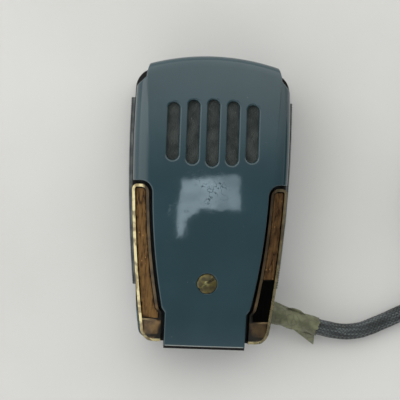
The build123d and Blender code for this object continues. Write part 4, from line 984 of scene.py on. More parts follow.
def makeFrontCover():
    loops, holes, extra, outline = coverSkin()
    flat, top, origin = triangulate(loops, extra, outline, [hole[0] for hole in holes])
    x, y = flat[:, 0], flat[:, 1]
    heights = coverZ(x, y)
    step = 0.01
    slopeX = (coverZ(x + step, y) - coverZ(x - step, y)) / (2 * step)
    slopeY = (coverZ(x, y + step) - coverZ(x, y - step)) / (2 * step)
    normals = np.stack([-slopeX, -slopeY, np.ones(len(x))], axis=1)
    normals /= np.linalg.norm(normals, axis=1)[:, None]
    vertices = [tuple(point) for point in np.column_stack([flat, heights])]
    faces = [face if orient(flat, face) > 0 else face[::-1] for face in top]
    topCount = len(faces)

    def addRing(points, z):
        start = len(vertices)
        for index, (px, py) in enumerate(points):
            vertices.append((px, py, z if np.isscalar(z) else z[index]))
        return list(range(start, len(vertices)))

    def addWall(upper, lower, inward=False):
        for index in range(len(upper)):
            after = (index + 1) % len(upper)
            quad = (upper[index], lower[index], lower[after], upper[after])
            faces.append(quad[::-1] if inward else quad)

    starts = np.cumsum([0] + [len(loop) for loop in loops])
    rim = [origin[index] for index in range(len(outline))]
    low = addRing(outline, shape["splitZ"])
    addWall(rim, low)
    innerLine = coverOutline(cover["wall"])
    innerLow = addRing(innerLine, shape["splitZ"])
    addWall(low, innerLow)
    holeLines = [hole[0] for hole in holes[:-1]]
    bore = sinkLoop(cover["sinkBore"] - cover["sinkRadius"])
    spread = cover["underStep"]
    coarse = np.array([(gx, gy) for gx in np.arange(-26, 26.1, spread) for gy in np.arange(-49, 51, spread)])
    keep = insidePolygon(coarse, innerLine) & (slotDistance(coarse[:, 0], coarse[:, 1]) > 0.7)
    keep &= lineDistance(coarse[:, 0], coarse[:, 1], np.vstack([innerLine, innerLine[:1]])) > 0.7
    keep &= np.hypot(coarse[:, 0], coarse[:, 1] - shape["screwY"]) > cover["sinkBore"] + 0.6
    underLoops = [innerLine] + holeLines + [bore]
    under, underFaces, underOrigin = triangulate(underLoops, coarse[keep], innerLine, holeLines + [bore])
    underStart = len(vertices)
    underZ = coverZ(under[:, 0], under[:, 1], lips=False, inset=cover["wall"])
    vertices += [tuple(point) for point in np.column_stack([under, underZ])]
    for face in underFaces:
        turned = face if orient(under, face) < 0 else face[::-1]
        faces.append(tuple(underStart + value for value in turned))
    underStarts = np.cumsum([0] + [len(loop) for loop in underLoops])
    underRing = [[underStart + underOrigin[first + index] for index in range(len(loop))]
                 for first, loop in zip(underStarts, underLoops)]
    addWall(innerLow, underRing[0])
    for number in range(len(holes)):
        firstLoop = len(cover["lipSteps"]) * (1 + number)
        loopStart = starts[firstLoop]
        count = len(loops[firstLoop])
        ring = [origin[loopStart + index] for index in range(count)]
        if number < len(holes) - 1:
            addWall(ring, underRing[1 + number], inward=True)
        else:
            floorRing = addRing(sinkLoop(0.0), cover["sinkFloorZ"])
            addWall(ring, floorRing, inward=True)
            addWall(floorRing, underRing[-1], inward=True)
    addSkirt(vertices, faces)
    made = newPiece("frontCover", vertices, faces, enamelMaterial())
    mesh = made.data
    mesh.set_sharp_from_angle(angle=math.radians(38))
    custom = []
    for face in mesh.polygons:
        for vertex in face.vertices:
            custom.append(tuple(normals[vertex]) if face.index < topCount else (0.0, 0.0, 0.0))
    mesh.normals_split_custom_set(custom)
    settle(made, "housing", ("front_cover",))
    return made


frontCover = makeFrontCover()
print("front cover made", len(frontCover.data.polygons))


# A welded copy of a node's solid, its near-flat faces joined where an angle is given
def copyNode(node, name, joinAngle=None, change=None):
    work = bmesh.new()
    work.from_mesh(frame["nodes"][node].data)
    bmesh.ops.remove_doubles(work, verts=work.verts, dist=0.004 * mm)
    if change is not None:
        change(work.verts)
    if joinAngle is not None:
        bmesh.ops.dissolve_limit(work, angle_limit=math.radians(joinAngle), verts=work.verts, edges=work.edges)
    mesh = bpy.data.meshes.new(name)
    work.to_mesh(mesh)
    work.free()
    mesh.materials.clear()
    made = bpy.data.objects.new(name, mesh)
    scene.collection.objects.link(made)
    return made


# Carried-over solids get softened edges and a finish of their own
def softened(node, name, material, width=0.15, segments=2, angle=32.0):
    made = copyNode(node, name, joinAngle=0.6)
    made.data.materials.append(material)
    bevel = made.modifiers.new("edges", "BEVEL")
    bevel.width = width * mm
    bevel.segments = segments
    bevel.limit_method = "ANGLE"
    bevel.angle_limit = math.radians(angle)
    bevel.use_clamp_overlap = True
    weighted = made.modifiers.new("shading", "WEIGHTED_NORMAL")
    weighted.keep_sharp = False
    made.data.shade_smooth()
    bake(made)
    settle(made, "housing", (node,))
    return made


# Trim: brass channels, brown with age; rims pale from rubbing and as painted highlight, with painted shade in the
# channels, the gaps and along the right side
trim = {  # spans in millimetres; a span of four ends with the two strengths reached
    "planeTop": (27.904, 7.2, 22.3),
    "planeLowY": -42.6,
    "tilt": 25.0,
    "feetBelow": -43.0,
    "feetDepth": (1.28, 1.72),
    "feetLift": 0.95,
    # pale brass from rubbing, also standing for the painted highlight on the rims
    "rubbedAndHighlight": (0.56, 0.49, 0.28),
    "brown": (0.150, 0.092, 0.038),
    "darkBrown": (0.050, 0.032, 0.016),
    # near black, used for painted shade and for the darkened inner rims
    "shadeDark": (0.006, 0.005, 0.003),
    "rimDepth": (0.22, 0.50),
    "besideTongue": (2.5, 3.2, 0.04, 1.0),
    "footInner": (16.9, 17.5, 0.10, 1.0),
    "outerEdge": (-0.30, -0.10, 0.55, 0.0),
    "crossY": ((-43.5, -43.3), (-42.3, -42.1)),
    "crossSide": (0.5, 0.8, 0.0, 0.85),
    "cornerAt": (18.4, -45.8),
    "cornerReach": (3.85, 4.05),
    "cornerY": (-46.6, -45.9),
    "middle": (-1.0, 1.0),
    "rightUpperShadeY": (-26.0, -20.0),
    "rightUpperShadeShare": 0.80,
    "channelDepth": (0.75, 1.15),
    "channelY": (-43.4, -42.6),
    "slotY": ((-49.3, -48.9), (-48.2, -47.8)),
    "slotEnd": (21.2, 21.8, 0.92, 0.0),
    "slotDepth": (0.30, 0.42),
    "belowDepth": (1.7, 2.4),
    "innerRimDarkening": (0.55, 0.62),
    "rightRimShade": 0.62,
    "rightShade": (-44.0, -42.5, 0.58, 0.30),
}


def rimPlane():
    top = Vector(trim["planeTop"]) * mm
    lowX = float(flankX(shape["coverHalfWidth"], trim["planeLowY"])) * mm
    along = Vector((top.x - lowX, top.y - trim["planeLowY"] * mm, 0)).normalized()
    tilt = math.radians(trim["tilt"])
    return top, Vector((along.y * math.sin(tilt), -along.x * math.sin(tilt), math.cos(tilt)))


def liftFeet(piece):
    top, normal = rimPlane()
    for vertex in piece.data.vertices:
        place = Vector((abs(vertex.co.x), vertex.co.y, vertex.co.z))
        depth = normal.dot(top - place) / mm
        if vertex.co.y < trim["feetBelow"] * mm and trim["feetDepth"][0] < depth < trim["feetDepth"][1]:
            vertex.co.z += trim["feetLift"] * mm
    piece.data.update()


def trimMaterial():
    material, tree, surface = newMaterial("agedBrass")
    x, y, z = objectParts(tree)
    across = mathNode(tree, "ABSOLUTE", x)
    top, normal = rimPlane()
    level = plus(tree, times(tree, across, normal.x), times(tree, y, normal.y), times(tree, z, normal.z))
    depth = less(tree, normal.dot(top), level)
    wholeRim = ramp(tree, depth, trim["rimDepth"], falling)
    tongueSide = sideLine(tree, y, cover["tongueHalf"], cover["tongueWidestY"], cover["tongueSide"])
    inner = ramp(tree, less(tree, across, tongueSide), trim["besideTongue"])
    inner = times(tree, inner, ramp(tree, across, trim["footInner"]))
    outerSide = sideLine(tree, y, shape["coverHalfWidth"], shape["widestY"], shape["flankRadius"])
    within = less(tree, outerSide, across)
    outward = ramp(tree, within, trim["outerEdge"])
    cross = times(tree, band(tree, y, *trim["crossY"]), ramp(tree, within, trim["crossSide"]))
    cornerX, cornerY = trim["cornerAt"]
    cornerX = most(tree, less(tree, across, cornerX * mm), 0.0)
    cornerY = most(tree, less(tree, cornerY * mm, y), 0.0)
    hem = ramp(tree, awayFrom(tree, (cornerX, 0.0), (cornerY, 0.0)), trim["cornerReach"])
    hem = times(tree, hem, ramp(tree, y, trim["cornerY"], falling))
    rightSide = ramp(tree, x, trim["middle"])
    # painted shade: the right side is darker from its middle upwards, dimming its rims
    rightUpperShade = times(tree, rightSide, ramp(tree, y, trim["rightUpperShadeY"]))
    wear = useEffect(tree, "mottle", Scale=330.0, Detail=6.0, Low=0.36, High=0.60).outputs["Mask"]
    # painted highlight and rubbing: rims, outward faces and foot corners are painted pale and metallic
    rubAndHighlight = times(
        tree,
        most(tree, times(tree, wholeRim, less(tree, 1.0, cross), inner), outward, hem),
        less(tree, 1.0, times(tree, rightUpperShade, trim["rightUpperShadeShare"])),
        mapRange(tree, wear, 0.0, 1.0, 0.35, 1.0),
    )
    # painted shade at the deep end of the channels, in a slot that has no geometry, and in the gap under the cover
    deep = times(tree, ramp(tree, depth, trim["channelDepth"]), ramp(tree, y, trim["channelY"]))
    slot = times(
        tree,
        band(tree, y, *trim["slotY"]),
        ramp(tree, across, trim["slotEnd"]),
        ramp(tree, depth, trim["slotDepth"]),
    )
    below = times(tree, ramp(tree, depth, trim["belowDepth"]), mapRange(tree, outward, 0.0, 0.4, 1.0, 0.0))
    innerRimDarkening = mapRange(tree, rightSide, 0.0, 1.0, *trim["innerRimDarkening"])
    # painted shade along the right side and its rims, strongest at the foot, with the inner rims darkened
    shadeAndRimDarkening = most(
        tree,
        times(tree, wholeRim, less(tree, 1.0, inner), innerRimDarkening),
        times(tree, wholeRim, inner, rightUpperShade, trim["rightRimShade"]),
        times(tree, rightSide, ramp(tree, y, trim["rightShade"])),
    )
    patina = useEffect(tree, "mottle", Scale=210.0, Detail=6.0, Dark=trim["darkBrown"], Light=trim["brown"])
    colour = mixColour(tree, shadeAndRimDarkening, patina.outputs["Color"], trim["shadeDark"])
    colour = mixColour(tree, most(tree, deep, slot, below), colour, trim["shadeDark"])
    colour = mixColour(tree, rubAndHighlight, colour, trim["rubbedAndHighlight"])
    feed(tree, surface, Base_Color=colour, Metallic=mapRange(tree, rubAndHighlight, 0.05, 0.6), Specular_IOR_Level=0.25)
    feed(tree, surface, Roughness=mapRange(tree, rubAndHighlight, 0.0, 0.8, 0.48, 0.24))
    addGrain(tree, surface, 1300.0, 4.0, 0.18, 0.00008)
    return material


trimFrame = softened("trim_frame", "trimFrame", trimMaterial(), width=0.16)
liftFeet(trimFrame)


# Rear case: the same enamel outside, unpainted black phenolic along its joint with the cover, made near black there as
# painted shade
swell = {"by": 0.9, "fromY": -31.5, "fullY": -37.0, "fromX": 21.0, "fullX": 23.0, "lowZ": 15.1, "highZ": 15.6}
caseColours = {  # spans in millimetres
    "dark": (0.018, 0.036, 0.044),
    "light": (0.026, 0.047, 0.056),
    # near black: unpainted phenolic, made darker still as painted shade
    "bareAndShade": (0.004, 0.004, 0.003),
    "dirt": (0.10, 0.095, 0.075),
    "jointZ": (13.9, 14.5),
    "jointY": (-42.0, -36.0),
    "pedestalZ": (13.6, 14.4),
    "pedestalY": (-47.0, -46.0),
    "pedestalX": (16.8, 17.6),
}


def widenFoot(piece):
    for vertex in piece.data.vertices:
        x, y, z = vertex.co / mm
        share = smoothStep(-y, -swell["fromY"], -swell["fullY"]) * smoothStep(abs(x), swell["fromX"], swell["fullX"])
        share *= 1.0 - smoothStep(z, swell["lowZ"], swell["highZ"])
        vertex.co.x += math.copysign(swell["by"] * float(share) * mm, x)
    piece.data.update()


def caseMaterial():
    material, tree, surface = newMaterial("caseEnamel")
    x, y, z = objectParts(tree)
    tone = useEffect(tree, "mottle", Scale=60.0, Detail=4.0, Dark=caseColours["dark"], Light=caseColours["light"])
    # unpainted black phenolic at the upper joint and the pedestal, its near black also painted shade in the dark
    # corners
    joint = times(tree, ramp(tree, z, caseColours["jointZ"]), ramp(tree, y, caseColours["jointY"]))
    pedestal = times(
        tree,
        ramp(tree, z, caseColours["pedestalZ"]),
        ramp(tree, y, caseColours["pedestalY"], falling),
        ramp(tree, mathNode(tree, "ABSOLUTE", x), caseColours["pedestalX"], falling),
    )
    bareAndShade = most(tree, joint, pedestal)
    colour = mixColour(tree, bareAndShade, tone.outputs["Color"], caseColours["bareAndShade"])
    dirt = useEffect(tree, "mottle", Scale=420.0, Detail=6.0, Low=0.56, High=0.72).outputs["Mask"]
    soiled = times(tree, dirt, mapRange(tree, bareAndShade, 0.0, 1.0, 0.30, 0.0))
    lines = useEffect(tree, "hairlines", Scale=330.0, Thin=0.008, Patches=90.0, Rarity=0.58).outputs["Mask"]
    rough = mapRange(tree, most(tree, lines, bareAndShade), 0.0, 1.0, 0.16, 0.90)
    feed(tree, surface, Base_Color=mixColour(tree, soiled, colour, caseColours["dirt"]), Roughness=rough)
    addGrain(tree, surface, 900.0, 2.0, 0.10, 0.00006)
    return material


rearCase = softened("rear_case", "rearCase", caseMaterial(), width=0.30, segments=3)
widenFoot(rearCase)
print("trim and case made")


# Grip bars: ridges set along each side by a Geometry Nodes tree, one bar to each body
grip = {
    "lowY": -31.0,
    "highY": 38.0,
    "midZ": 8.8,
    "height": 6.4,
    "proud": 1.6,
    "pitch": 0.92,
    "depth": 0.46,
    "wear": 0.18,
    "seed": 5,
    "valley": (0.25, 0.45, 0.0, 0.30),
    "crest": (0.08, 0.24, 0.55, 0.0),
    "plastic": {"Dark": (0.075, 0.085, 0.084), "Light": (0.190, 0.208, 0.200)},
    "dusty": (0.30, 0.29, 0.25),
    "valleyShade": (0.018, 0.020, 0.020),
    "crestTone": (0.50, 0.51, 0.48),
}


def gripMaterial():
    material, tree, surface = newMaterial("gripPlastic")
    tone = useEffect(tree, "mottle", Scale=260.0, Detail=5.0, **grip["plastic"])
    colour = dust(tree, tone.outputs["Color"], grip["dusty"], 0.3, Scale=1500.0, Size=0.30, Amount=0.25)
    parts = objectParts(tree)
    crest = sideLine(
        tree, parts[1], shape["caseHalfWidth"] + grip["proud"], shape["widestY"], shape["flankRadius"]
    )
    within = less(tree, crest, mathNode(tree, "ABSOLUTE", parts[0]))
    # painted shade in the valleys between the ridges
    colour = mixColour(tree, ramp(tree, within, grip["valley"]), colour, grip["valleyShade"])
    colour = mixColour(tree, ramp(tree, within, grip["crest"]), colour, grip["crestTone"])
    rough = mapRange(tree, tone.outputs["Mask"], 0.0, 1.0, 0.34, 0.52)
    feed(tree, surface, Base_Color=colour, Roughness=rough)
    addGrain(tree, surface, 1600.0, 3.0, 0.15, 0.00005)
    return material


def ridgeTree():
    tree = bpy.data.node_groups.new("ridgesAlongSide", "GeometryNodeTree")
    kinds = {"Bar": "Geometry", "Count": "Int", "Seed": "Int", "Finish": "Material"}
    sockets = {}
    for label in ("Bar", "Side", "Low Y", "Pitch", "Count", "Height", "Mid Z", "Depth", "Reach", "Bow Radius",
                  "Widest Y", "Wear", "Seed", "Finish"):
        kind = "NodeSocket" + kinds.get(label, "Float")
        sockets[label] = tree.interface.new_socket(name=label, in_out="INPUT", socket_type=kind).identifier
    tree.interface.new_socket(name="Bar", in_out="OUTPUT", socket_type="NodeSocketGeometry")
    entry = addNode(tree, "NodeGroupInput").outputs
    leave = addNode(tree, "NodeGroupOutput")
    half = times(tree, entry["Pitch"], 0.5)
    start = combine(tree, 0.0, plus(tree, entry["Low Y"], half), entry["Mid Z"])
    stride = combine(tree, 0.0, entry["Pitch"])
    row = feed(tree, addNode(tree, "GeometryNodeMeshLine"), Count=entry["Count"], Start_Location=start, Offset=stride)
    where = separate(tree, addNode(tree, "GeometryNodeInputPosition").outputs[0])
    off = less(tree, where[1], entry["Widest Y"])
    radius = entry["Bow Radius"]
    bow = mathNode(tree, "SQRT", less(tree, times(tree, radius, radius), times(tree, off, off)))
    out = plus(tree, entry["Reach"], less(tree, bow, radius))
    shift = combine(tree, times(tree, out, entry["Side"]))
    bent = feed(tree, addNode(tree, "GeometryNodeSetPosition"), Geometry=row.outputs[0], Offset=shift)
    ridge = feed(tree, addNode(tree, "GeometryNodeMeshCylinder"), Vertices=4, Radius=half, Depth=entry["Height"])
    size = addNode(tree, "FunctionNodeRandomValue", data_type="FLOAT")
    fill(tree, size.inputs[2], less(tree, 1.0, entry["Wear"]))
    fill(tree, size.inputs[3], 1.0)
    feed(tree, size, Seed=entry["Seed"])
    deep = times(tree, mathNode(tree, "DIVIDE", entry["Depth"], half), size.outputs[1])
    placed = addNode(tree, "GeometryNodeInstanceOnPoints")
    feed(tree, placed, Points=bent.outputs[0], Instance=ridge.outputs[0], Scale=combine(tree, deep, 1.0, 1.0))
    joined = addNode(tree, "GeometryNodeJoinGeometry")
    tree.links.new(placed.outputs[0], joined.inputs[0])
    tree.links.new(entry["Bar"], joined.inputs[0])
    solid = addNode(tree, "GeometryNodeRealizeInstances")
    tree.links.new(joined.outputs[0], solid.inputs[0])
    painted = addNode(tree, "GeometryNodeSetMaterial")
    feed(tree, painted, Geometry=solid.outputs[0], Material=entry["Finish"])
    tree.links.new(painted.outputs[0], leave.inputs[0])
    return tree, sockets


def makeBar(node, name, body, side, tree, sockets, material):
    limit = shape["caseHalfWidth"] + grip["proud"] - grip["depth"]

    def shave(vertices):
        for vertex in vertices:
            reach = float(flankX(limit, vertex.co.y / mm)) * mm
            if side * vertex.co.x > reach:
                vertex.co.x = side * reach

    made = copyNode(node, name, joinAngle=0.8, change=shave)
    count = int((grip["highY"] - grip["lowY"]) / grip["pitch"])
    modifier = made.modifiers.new("ridges", "NODES")
    modifier.node_group = tree
    values = {
        "Side": float(side),
        "Low Y": grip["lowY"] * mm,
        "Pitch": (grip["highY"] - grip["lowY"]) / count * mm,
        "Count": count,
        "Height": grip["height"] * mm,
        "Mid Z": grip["midZ"] * mm,
        "Depth": grip["depth"] * mm,
        "Reach": limit * mm,
        "Bow Radius": shape["flankRadius"] * mm,
        "Widest Y": shape["widestY"] * mm,
        "Wear": grip["wear"],
        "Seed": grip["seed"],
        "Finish": material,
    }
    for label, value in values.items():
        modifier[sockets[label]] = value
    bake(made)
    settle(made, body, (node,))
    return made


ridges, ridgeSockets = ridgeTree()
gripFinish = gripMaterial()
makeBar("talk_bar", "talkBar", "bar", -1, ridges, ridgeSockets, gripFinish)
makeBar("grip_strip", "gripStrip", "housing", 1, ridges, ridgeSockets, gripFinish)
print("grip bars made")


# Pads: what is left of the glued strips in the channels
pads = {
    "voxel": 0.22,
    "upright": 0.55,
    "crumble": 0.40,
    "crumbleFrom": 0.25,
    "broadShare": 0.9,
    "fineShare": 0.5,
    "sink": 0.15,
    "left_channel_pad": {"piece": "leftPad", "lift": 0.16, "tone": "brown"},
    "right_channel_pad": {"piece": "rightPad", "lift": 0.20, "tone": "shadedBrown"},
    "right_insert_remnant": {"piece": "rightRemnant", "lift": 0.05, "tone": "black"},
}


def stretched(tree, place, scale):
    return feed(tree, addNode(tree, "ShaderNodeMapping"), Vector=place, Scale=scale).outputs[0]


def crackEdges(tree, scale, **values):
    return texture(tree, "Voronoi", {"feature": "DISTANCE_TO_EDGE"}, Scale=scale, **values).outputs["Distance"]


def glueMaterial(name, dark, light, crackAndShade, roughness, shine=0.10):
    material, tree, surface = newMaterial(name)
    grainWay = stretched(tree, objectPlace(tree), (1.0, 0.16, 1.0))
    streaks = texture(tree, "Noise", Vector=grainWay, Scale=1300.0, Detail=6.0)
    tone = mixColour(tree, mapRange(tree, streaks.outputs[0], 0.36, 0.64), dark, light)
    patch = useEffect(tree, "mottle", Scale=260.0, Detail=5.0, Low=0.40, High=0.62).outputs["Mask"]
    tone = mixColour(tree, times(tree, patch, 0.55), tone, light)
    # painted shade in the cracks: their edges take the near-black colour
    split = mapRange(tree, crackEdges(tree, 620.0, Vector=grainWay), 0.01, 0.06, 0.75, 0.0)
    some = useEffect(tree, "mottle", Scale=140.0, Detail=3.0, Low=0.52, High=0.60).outputs["Mask"]
    split = times(tree, split, some)
    colour = mixColour(tree, split, tone, crackAndShade)
    # painted shade: faces that do not face up, the pad sides, take the near-black colour
    upward = separate(tree, addNode(tree, "ShaderNodeNewGeometry").outputs["Normal"])[2]
    colour = mixColour(tree, mapRange(tree, upward, 0.55, 0.96, 0.92, 0.0), colour, crackAndShade)
    bright = tuple(min(1.0, value * 2.6) for value in light)
    colour = dust(tree, colour, bright, 0.5, Scale=800.0, Size=0.24, Amount=0.10)
    feed(tree, surface, Base_Color=colour, Roughness=roughness, Specular_IOR_Level=shine)
    first = addGrain(tree, surface, 800.0, 5.0, 0.55, 0.00025)
    addBump(tree, surface, less(tree, 1.0, split), 0.5, 0.0001, before=first)
    return material


def makePad(node, facts, material):
    made = copyNode(node, facts["piece"])
    made.data.materials.append(material)
    remesh = made.modifiers.new("even", "REMESH")
    remesh.mode = "VOXEL"
    remesh.voxel_size = pads["voxel"] * mm
    bake(made)
    mesh = made.data
    mesh.shade_smooth()
    middle = sum((vertex.co for vertex in mesh.vertices), Vector()) / len(mesh.vertices)
    for vertex in mesh.vertices:
        spot = vertex.co / mm
        broad = noise.noise(Vector((spot.x * 0.55, spot.y * 0.22, 3.0)))
        fine = noise.noise(Vector((spot.x * 1.6, spot.y * 0.9, 9.0)))
        edge = noise.noise(Vector((1.0, spot.y * 0.55, 5.0 if spot.x > middle.x / mm else 15.0)))
        normal = vertex.normal.copy()
        if normal.z > pads["upright"]:
            vertex.co.z += (broad * pads["broadShare"] + fine * pads["fineShare"] - pads["sink"]) * facts["lift"] * mm
        elif abs(normal.z) <= pads["upright"]:
            eaten = max(0.0, edge + pads["crumbleFrom"])
            vertex.co -= Vector((normal.x, normal.y, 0)) * eaten * pads["crumble"] * mm
    mesh.update()
    settle(made, "housing", (node,))


glues = {
    "brown": glueMaterial("crackedGlue", (0.036, 0.017, 0.005), (0.140, 0.076, 0.024), (0.010, 0.005, 0.003), 0.60),
    # painted shade: the right pad is the same glue made darker
    "shadedBrown": glueMaterial("crackedGlueShaded", (0.028, 0.013, 0.005), (0.112, 0.060, 0.022), (0.008, 0.004, 0.002), 0.62),
    "black": glueMaterial(
        "blackResidue", (0.0004, 0.0005, 0.0004), (0.0012, 0.0014, 0.0010), (0.0002, 0.0002, 0.0002), 0.9, 0.02
    ),
}
for padNode in ("left_channel_pad", "right_channel_pad", "right_insert_remnant"):
    makePad(padNode, pads[padNode], glues[pads[padNode]["tone"]])
print("pads made")


# Tape: aged paper tape wound once round the cord at the gland, crumpled, with one loose corner
tape = {
    "start": -2.3,
    "end": 16.9,
    "radiusStart": 4.25,
    "radiusEnd": 3.42,
    "wrinkle": 0.26,
    "ragged": 0.9,
    "raggedNoise": (1.7, 2.0),
    "nick": 0.45,
    "nickNoise": (6.0, 7.0),
    "taper": 1.6,
    "twist": (3.0, 0.55),
    "twistShare": 0.6,
    "fineShare": 0.45,
    "deepest": 0.18,
    "swellBy": 1.5,
    "paper": {"Dark": (0.080, 0.084, 0.040), "Light": (0.158, 0.166, 0.090)},
    "soil": (0.060, 0.060, 0.040),
    "creaseShade": (0.052, 0.052, 0.034),
    "thick": 0.22,
    "foldRoot": 3.55,
    "foldSteps": 12,
    "folds": [
        {"from": 8.4, "to": 17.0, "down": 1, "lift": 0.25, "tip": (42.4, -52.4, 2.2), "bulge": 0.6},
        {"from": 3.4, "to": 11.0, "down": -1, "lift": 0.55, "arch": 1.5, "bulge": 0.35},
    ],
    "around": 72,
    "along": 56,
}


def tapeMaterial():
    material, tree, surface = newMaterial("agedPaperTape")
    tone = useEffect(tree, "mottle", Scale=240.0, Detail=6.0, **tape["paper"])
    along = stretched(tree, addNode(tree, "ShaderNodeUVMap", uv_map="along").outputs[0], (26.0, 900.0, 1.0))
    crepe = texture(tree, "Noise", Vector=along, Scale=1.0, Detail=4.0)
    folds = mapRange(tree, crackEdges(tree, 330.0), 0.0, 0.10, 1.0, 0.0)
    soil = useEffect(tree, "mottle", Scale=130.0, Detail=5.0, Low=0.46, High=0.66).outputs["Mask"]
    colour = mixColour(tree, times(tree, soil, 0.55), tone.outputs["Color"], tape["soil"])
    # painted shade along the crease lines
    colour = mixColour(tree, times(tree, folds, 0.45), colour, tape["creaseShade"])
    feed(tree, surface, Base_Color=colour, Roughness=0.62, Sheen_Weight=0.1)
    first = addBump(tree, surface, crepe.outputs[0], 0.5, 0.00012)
    addBump(tree, surface, less(tree, 1.0, folds), 0.55, 0.00016, before=first)
    return material


def noiseRound(angle, turns, height):
    return noise.noise(Vector((math.cos(angle) * turns, math.sin(angle) * turns, height)))


def makeTape():
    path = np.array(cordPath)
    tangents, sides, ups = carriedFrames(path)
    places = np.arange(len(path)) * float(np.linalg.norm(path[1] - path[0]))

    def at(distance):
        spot = np.array([np.interp(distance, places, path[:, axis]) for axis in range(3)])
        spot = spot + tangents[0] * min(0.0, distance)
        side = np.array([np.interp(distance, places, sides[:, axis]) for axis in range(3)])
        up = np.array([np.interp(distance, places, ups[:, axis]) for axis in range(3)])
        return spot, side, up

    rings, count = tape["along"], tape["around"]
    full = tape["end"] - tape["start"]
    vertices = []
    for ring in range(rings + 1):
        share = ring / rings
        for part in range(count):
            angle = 2 * math.pi * part / count
            edge = noiseRound(angle, *tape["raggedNoise"]) * tape["ragged"]
            nick = noiseRound(angle, *tape["nickNoise"]) * tape["nick"]
            distance = tape["start"] + (full + edge + nick) * share
            centre, side, up = at(distance)
            radius = tape["radiusStart"] + (tape["radiusEnd"] - tape["radiusStart"]) * min(1.0, share * tape["taper"])
            twist = angle * tape["twist"][0] + distance * tape["twist"][1]
            crumple = noiseRound(angle, 1.9, distance * 0.33)
            crumple += tape["twistShare"] * math.sin(twist) * noiseRound(angle, 1.0, distance * 0.20 + 5)
            crumple += tape["fineShare"] * noiseRound(angle, 5.0, distance * 0.9)
            radius += max(-tape["deepest"], crumple * tape["wrinkle"] * tape["swellBy"])
            vertices.append(centre + (side * math.cos(angle) + up * math.sin(angle)) * radius)
    faces, corners = tubeFaces(rings, count)
    coords = [[(turn / count, place / rings) for turn, place in corner] for corner in corners]
    steps = tape["foldSteps"]
    for fold in tape["folds"]:
        start = len(vertices)
        for row in range(steps + 1):
            for column in range(steps + 1):
                share, reach = column / steps, row / steps
                centre, side, up = at(fold["from"] + (fold["to"] - fold["from"]) * share)
                outward = side if side[1] * fold["down"] < 0 else -side
                above = up if up[2] > 0 else -up
                leaning = outward * math.cos(fold["lift"]) + above * math.sin(fold["lift"])
                root = centre + leaning * tape["foldRoot"]
                if "tip" in fold:
                    spot = root + (np.array(fold["tip"]) - root) * reach * 0.97
                else:
                    spot = root + leaning * fold["arch"] * max(0.0, math.sin(math.pi * share)) ** 0.6 * reach
                lift = fold["bulge"] * math.sin(math.pi * reach) + 0.4 * noise.noise(Vector(spot * 0.7))
                vertices.append(spot + np.array((0.0, 0.0, lift)))
        for row in range(steps):
            for column in range(steps):
                near, far = start + row * (steps + 1) + column, start + (row + 1) * (steps + 1) + column
                quad = (near, far, far + 1, near + 1)
                faces.append(quad if fold["down"] > 0 else quad[::-1])
                ring = [(column / steps, row / steps), (column / steps, (row + 1) / steps),
                        ((column + 1) / steps, (row + 1) / steps), ((column + 1) / steps, row / steps)]
                coords.append(ring if fold["down"] > 0 else ring[::-1])
    made = newPiece("tapeWrap", vertices, faces, tapeMaterial())
    layUv(made, coords)
    thick = made.modifiers.new("thickness", "SOLIDIFY")
    thick.thickness = tape["thick"] * mm
    thick.offset = -1.0
    bake(made)
    settle(made, "housing", ("tape_wrap",))
    return made


tapeWrap = makeTape()
print("tape made")


# Cloth behind the slots, the cover screw and the plug
def clothMaterial():
    material, tree, surface = newMaterial("grilleWeave")
    threads = useEffect(tree, "weave", Vector=objectPlace(tree), Threads=math.pi / (0.42 * mm)).outputs["Height"]
    tone = useEffect(tree, "mottle", Scale=190.0, Detail=5.0, Dark=(0.029, 0.038, 0.036), Light=(0.064, 0.075, 0.070))
    # painted shade between the threads of the cloth
    gapShade = mapRange(tree, threads, 0.15, 0.60, 0.80, 0.0)
    colour = mixColour(tree, gapShade, tone.outputs["Color"], (0.012, 0.014, 0.013))
    colour = dust(tree, colour, (0.18, 0.18, 0.16), 0.35, Scale=1400.0, Size=0.26, Amount=0.06)
    feed(tree, surface, Base_Color=colour, Roughness=0.85, Specular_IOR_Level=0.2, Sheen_Weight=0.08)
    addBump(tree, surface, threads, 0.8, 0.00015)
    return material


screw = {
    "glintAt": (-0.2, -28.7),
    "glintReach": (0.2, 1.1, 0.45, 0.0),
    "glintColour": (0.62, 0.54, 0.25),
    "dark": (0.042, 0.034, 0.010),
    "light": (0.165, 0.140, 0.052),
}


def screwMaterial():
    material, tree, surface = newMaterial("tarnishedBrass")
    tone = useEffect(
        tree, "mottle", Scale=520.0, Detail=6.0, Dark=screw["dark"], Light=screw["light"], Low=0.38, High=0.66
    )
    mask = tone.outputs["Mask"]
    places = zip(objectParts(tree), screw["glintAt"])
    away = awayFrom(tree, *((value, middle * mm) for value, middle in places))
    # painted highlight: a pale spot near the screw's centre
    glint = times(tree, ramp(tree, away, screw["glintReach"]), mask)
    feed(tree, surface, Base_Color=mixColour(tree, glint, tone.outputs["Color"], screw["glintColour"]))
    feed(tree, surface, Metallic=mapRange(tree, mask, 0.0, 1.0, 0.35, 0.90))
    feed(tree, surface, Roughness=mapRange(tree, mask, 0.0, 1.0, 0.50, 0.28))
    addGrain(tree, surface, 1900.0, 5.0, 0.45, 0.00014)
    return material


softened("cover_screw", "coverScrew", screwMaterial(), width=0.10, angle=25.0)
plugPlastic = patchyMaterial(
    "plugPhenolic", (0.008, 0.008, 0.008), (0.018, 0.017, 0.015), 160.0, (0.22, 0.38),
    specks=(0.10, (0.09, 0.085, 0.07)),
)
nickel = patchyMaterial(
    "wornNickel", (0.46, 0.44, 0.40), (0.66, 0.64, 0.60), 240.0, (0.16, 0.32), 1.0, grain=(1600.0, 0.10, 0.00005)
)
plugPieces = [
    softened("plug_handle", "plugHandle", plugPlastic, width=0.35, segments=3),
    softened("plug_sleeve", "plugSleeve", nickel, width=0.15),
    softened("plug_tip", "plugTip", nickel, width=0.10),
    softened("plug_insulator", "plugInsulator", plugPlastic, width=0.08),
]
print("screw and plug made")

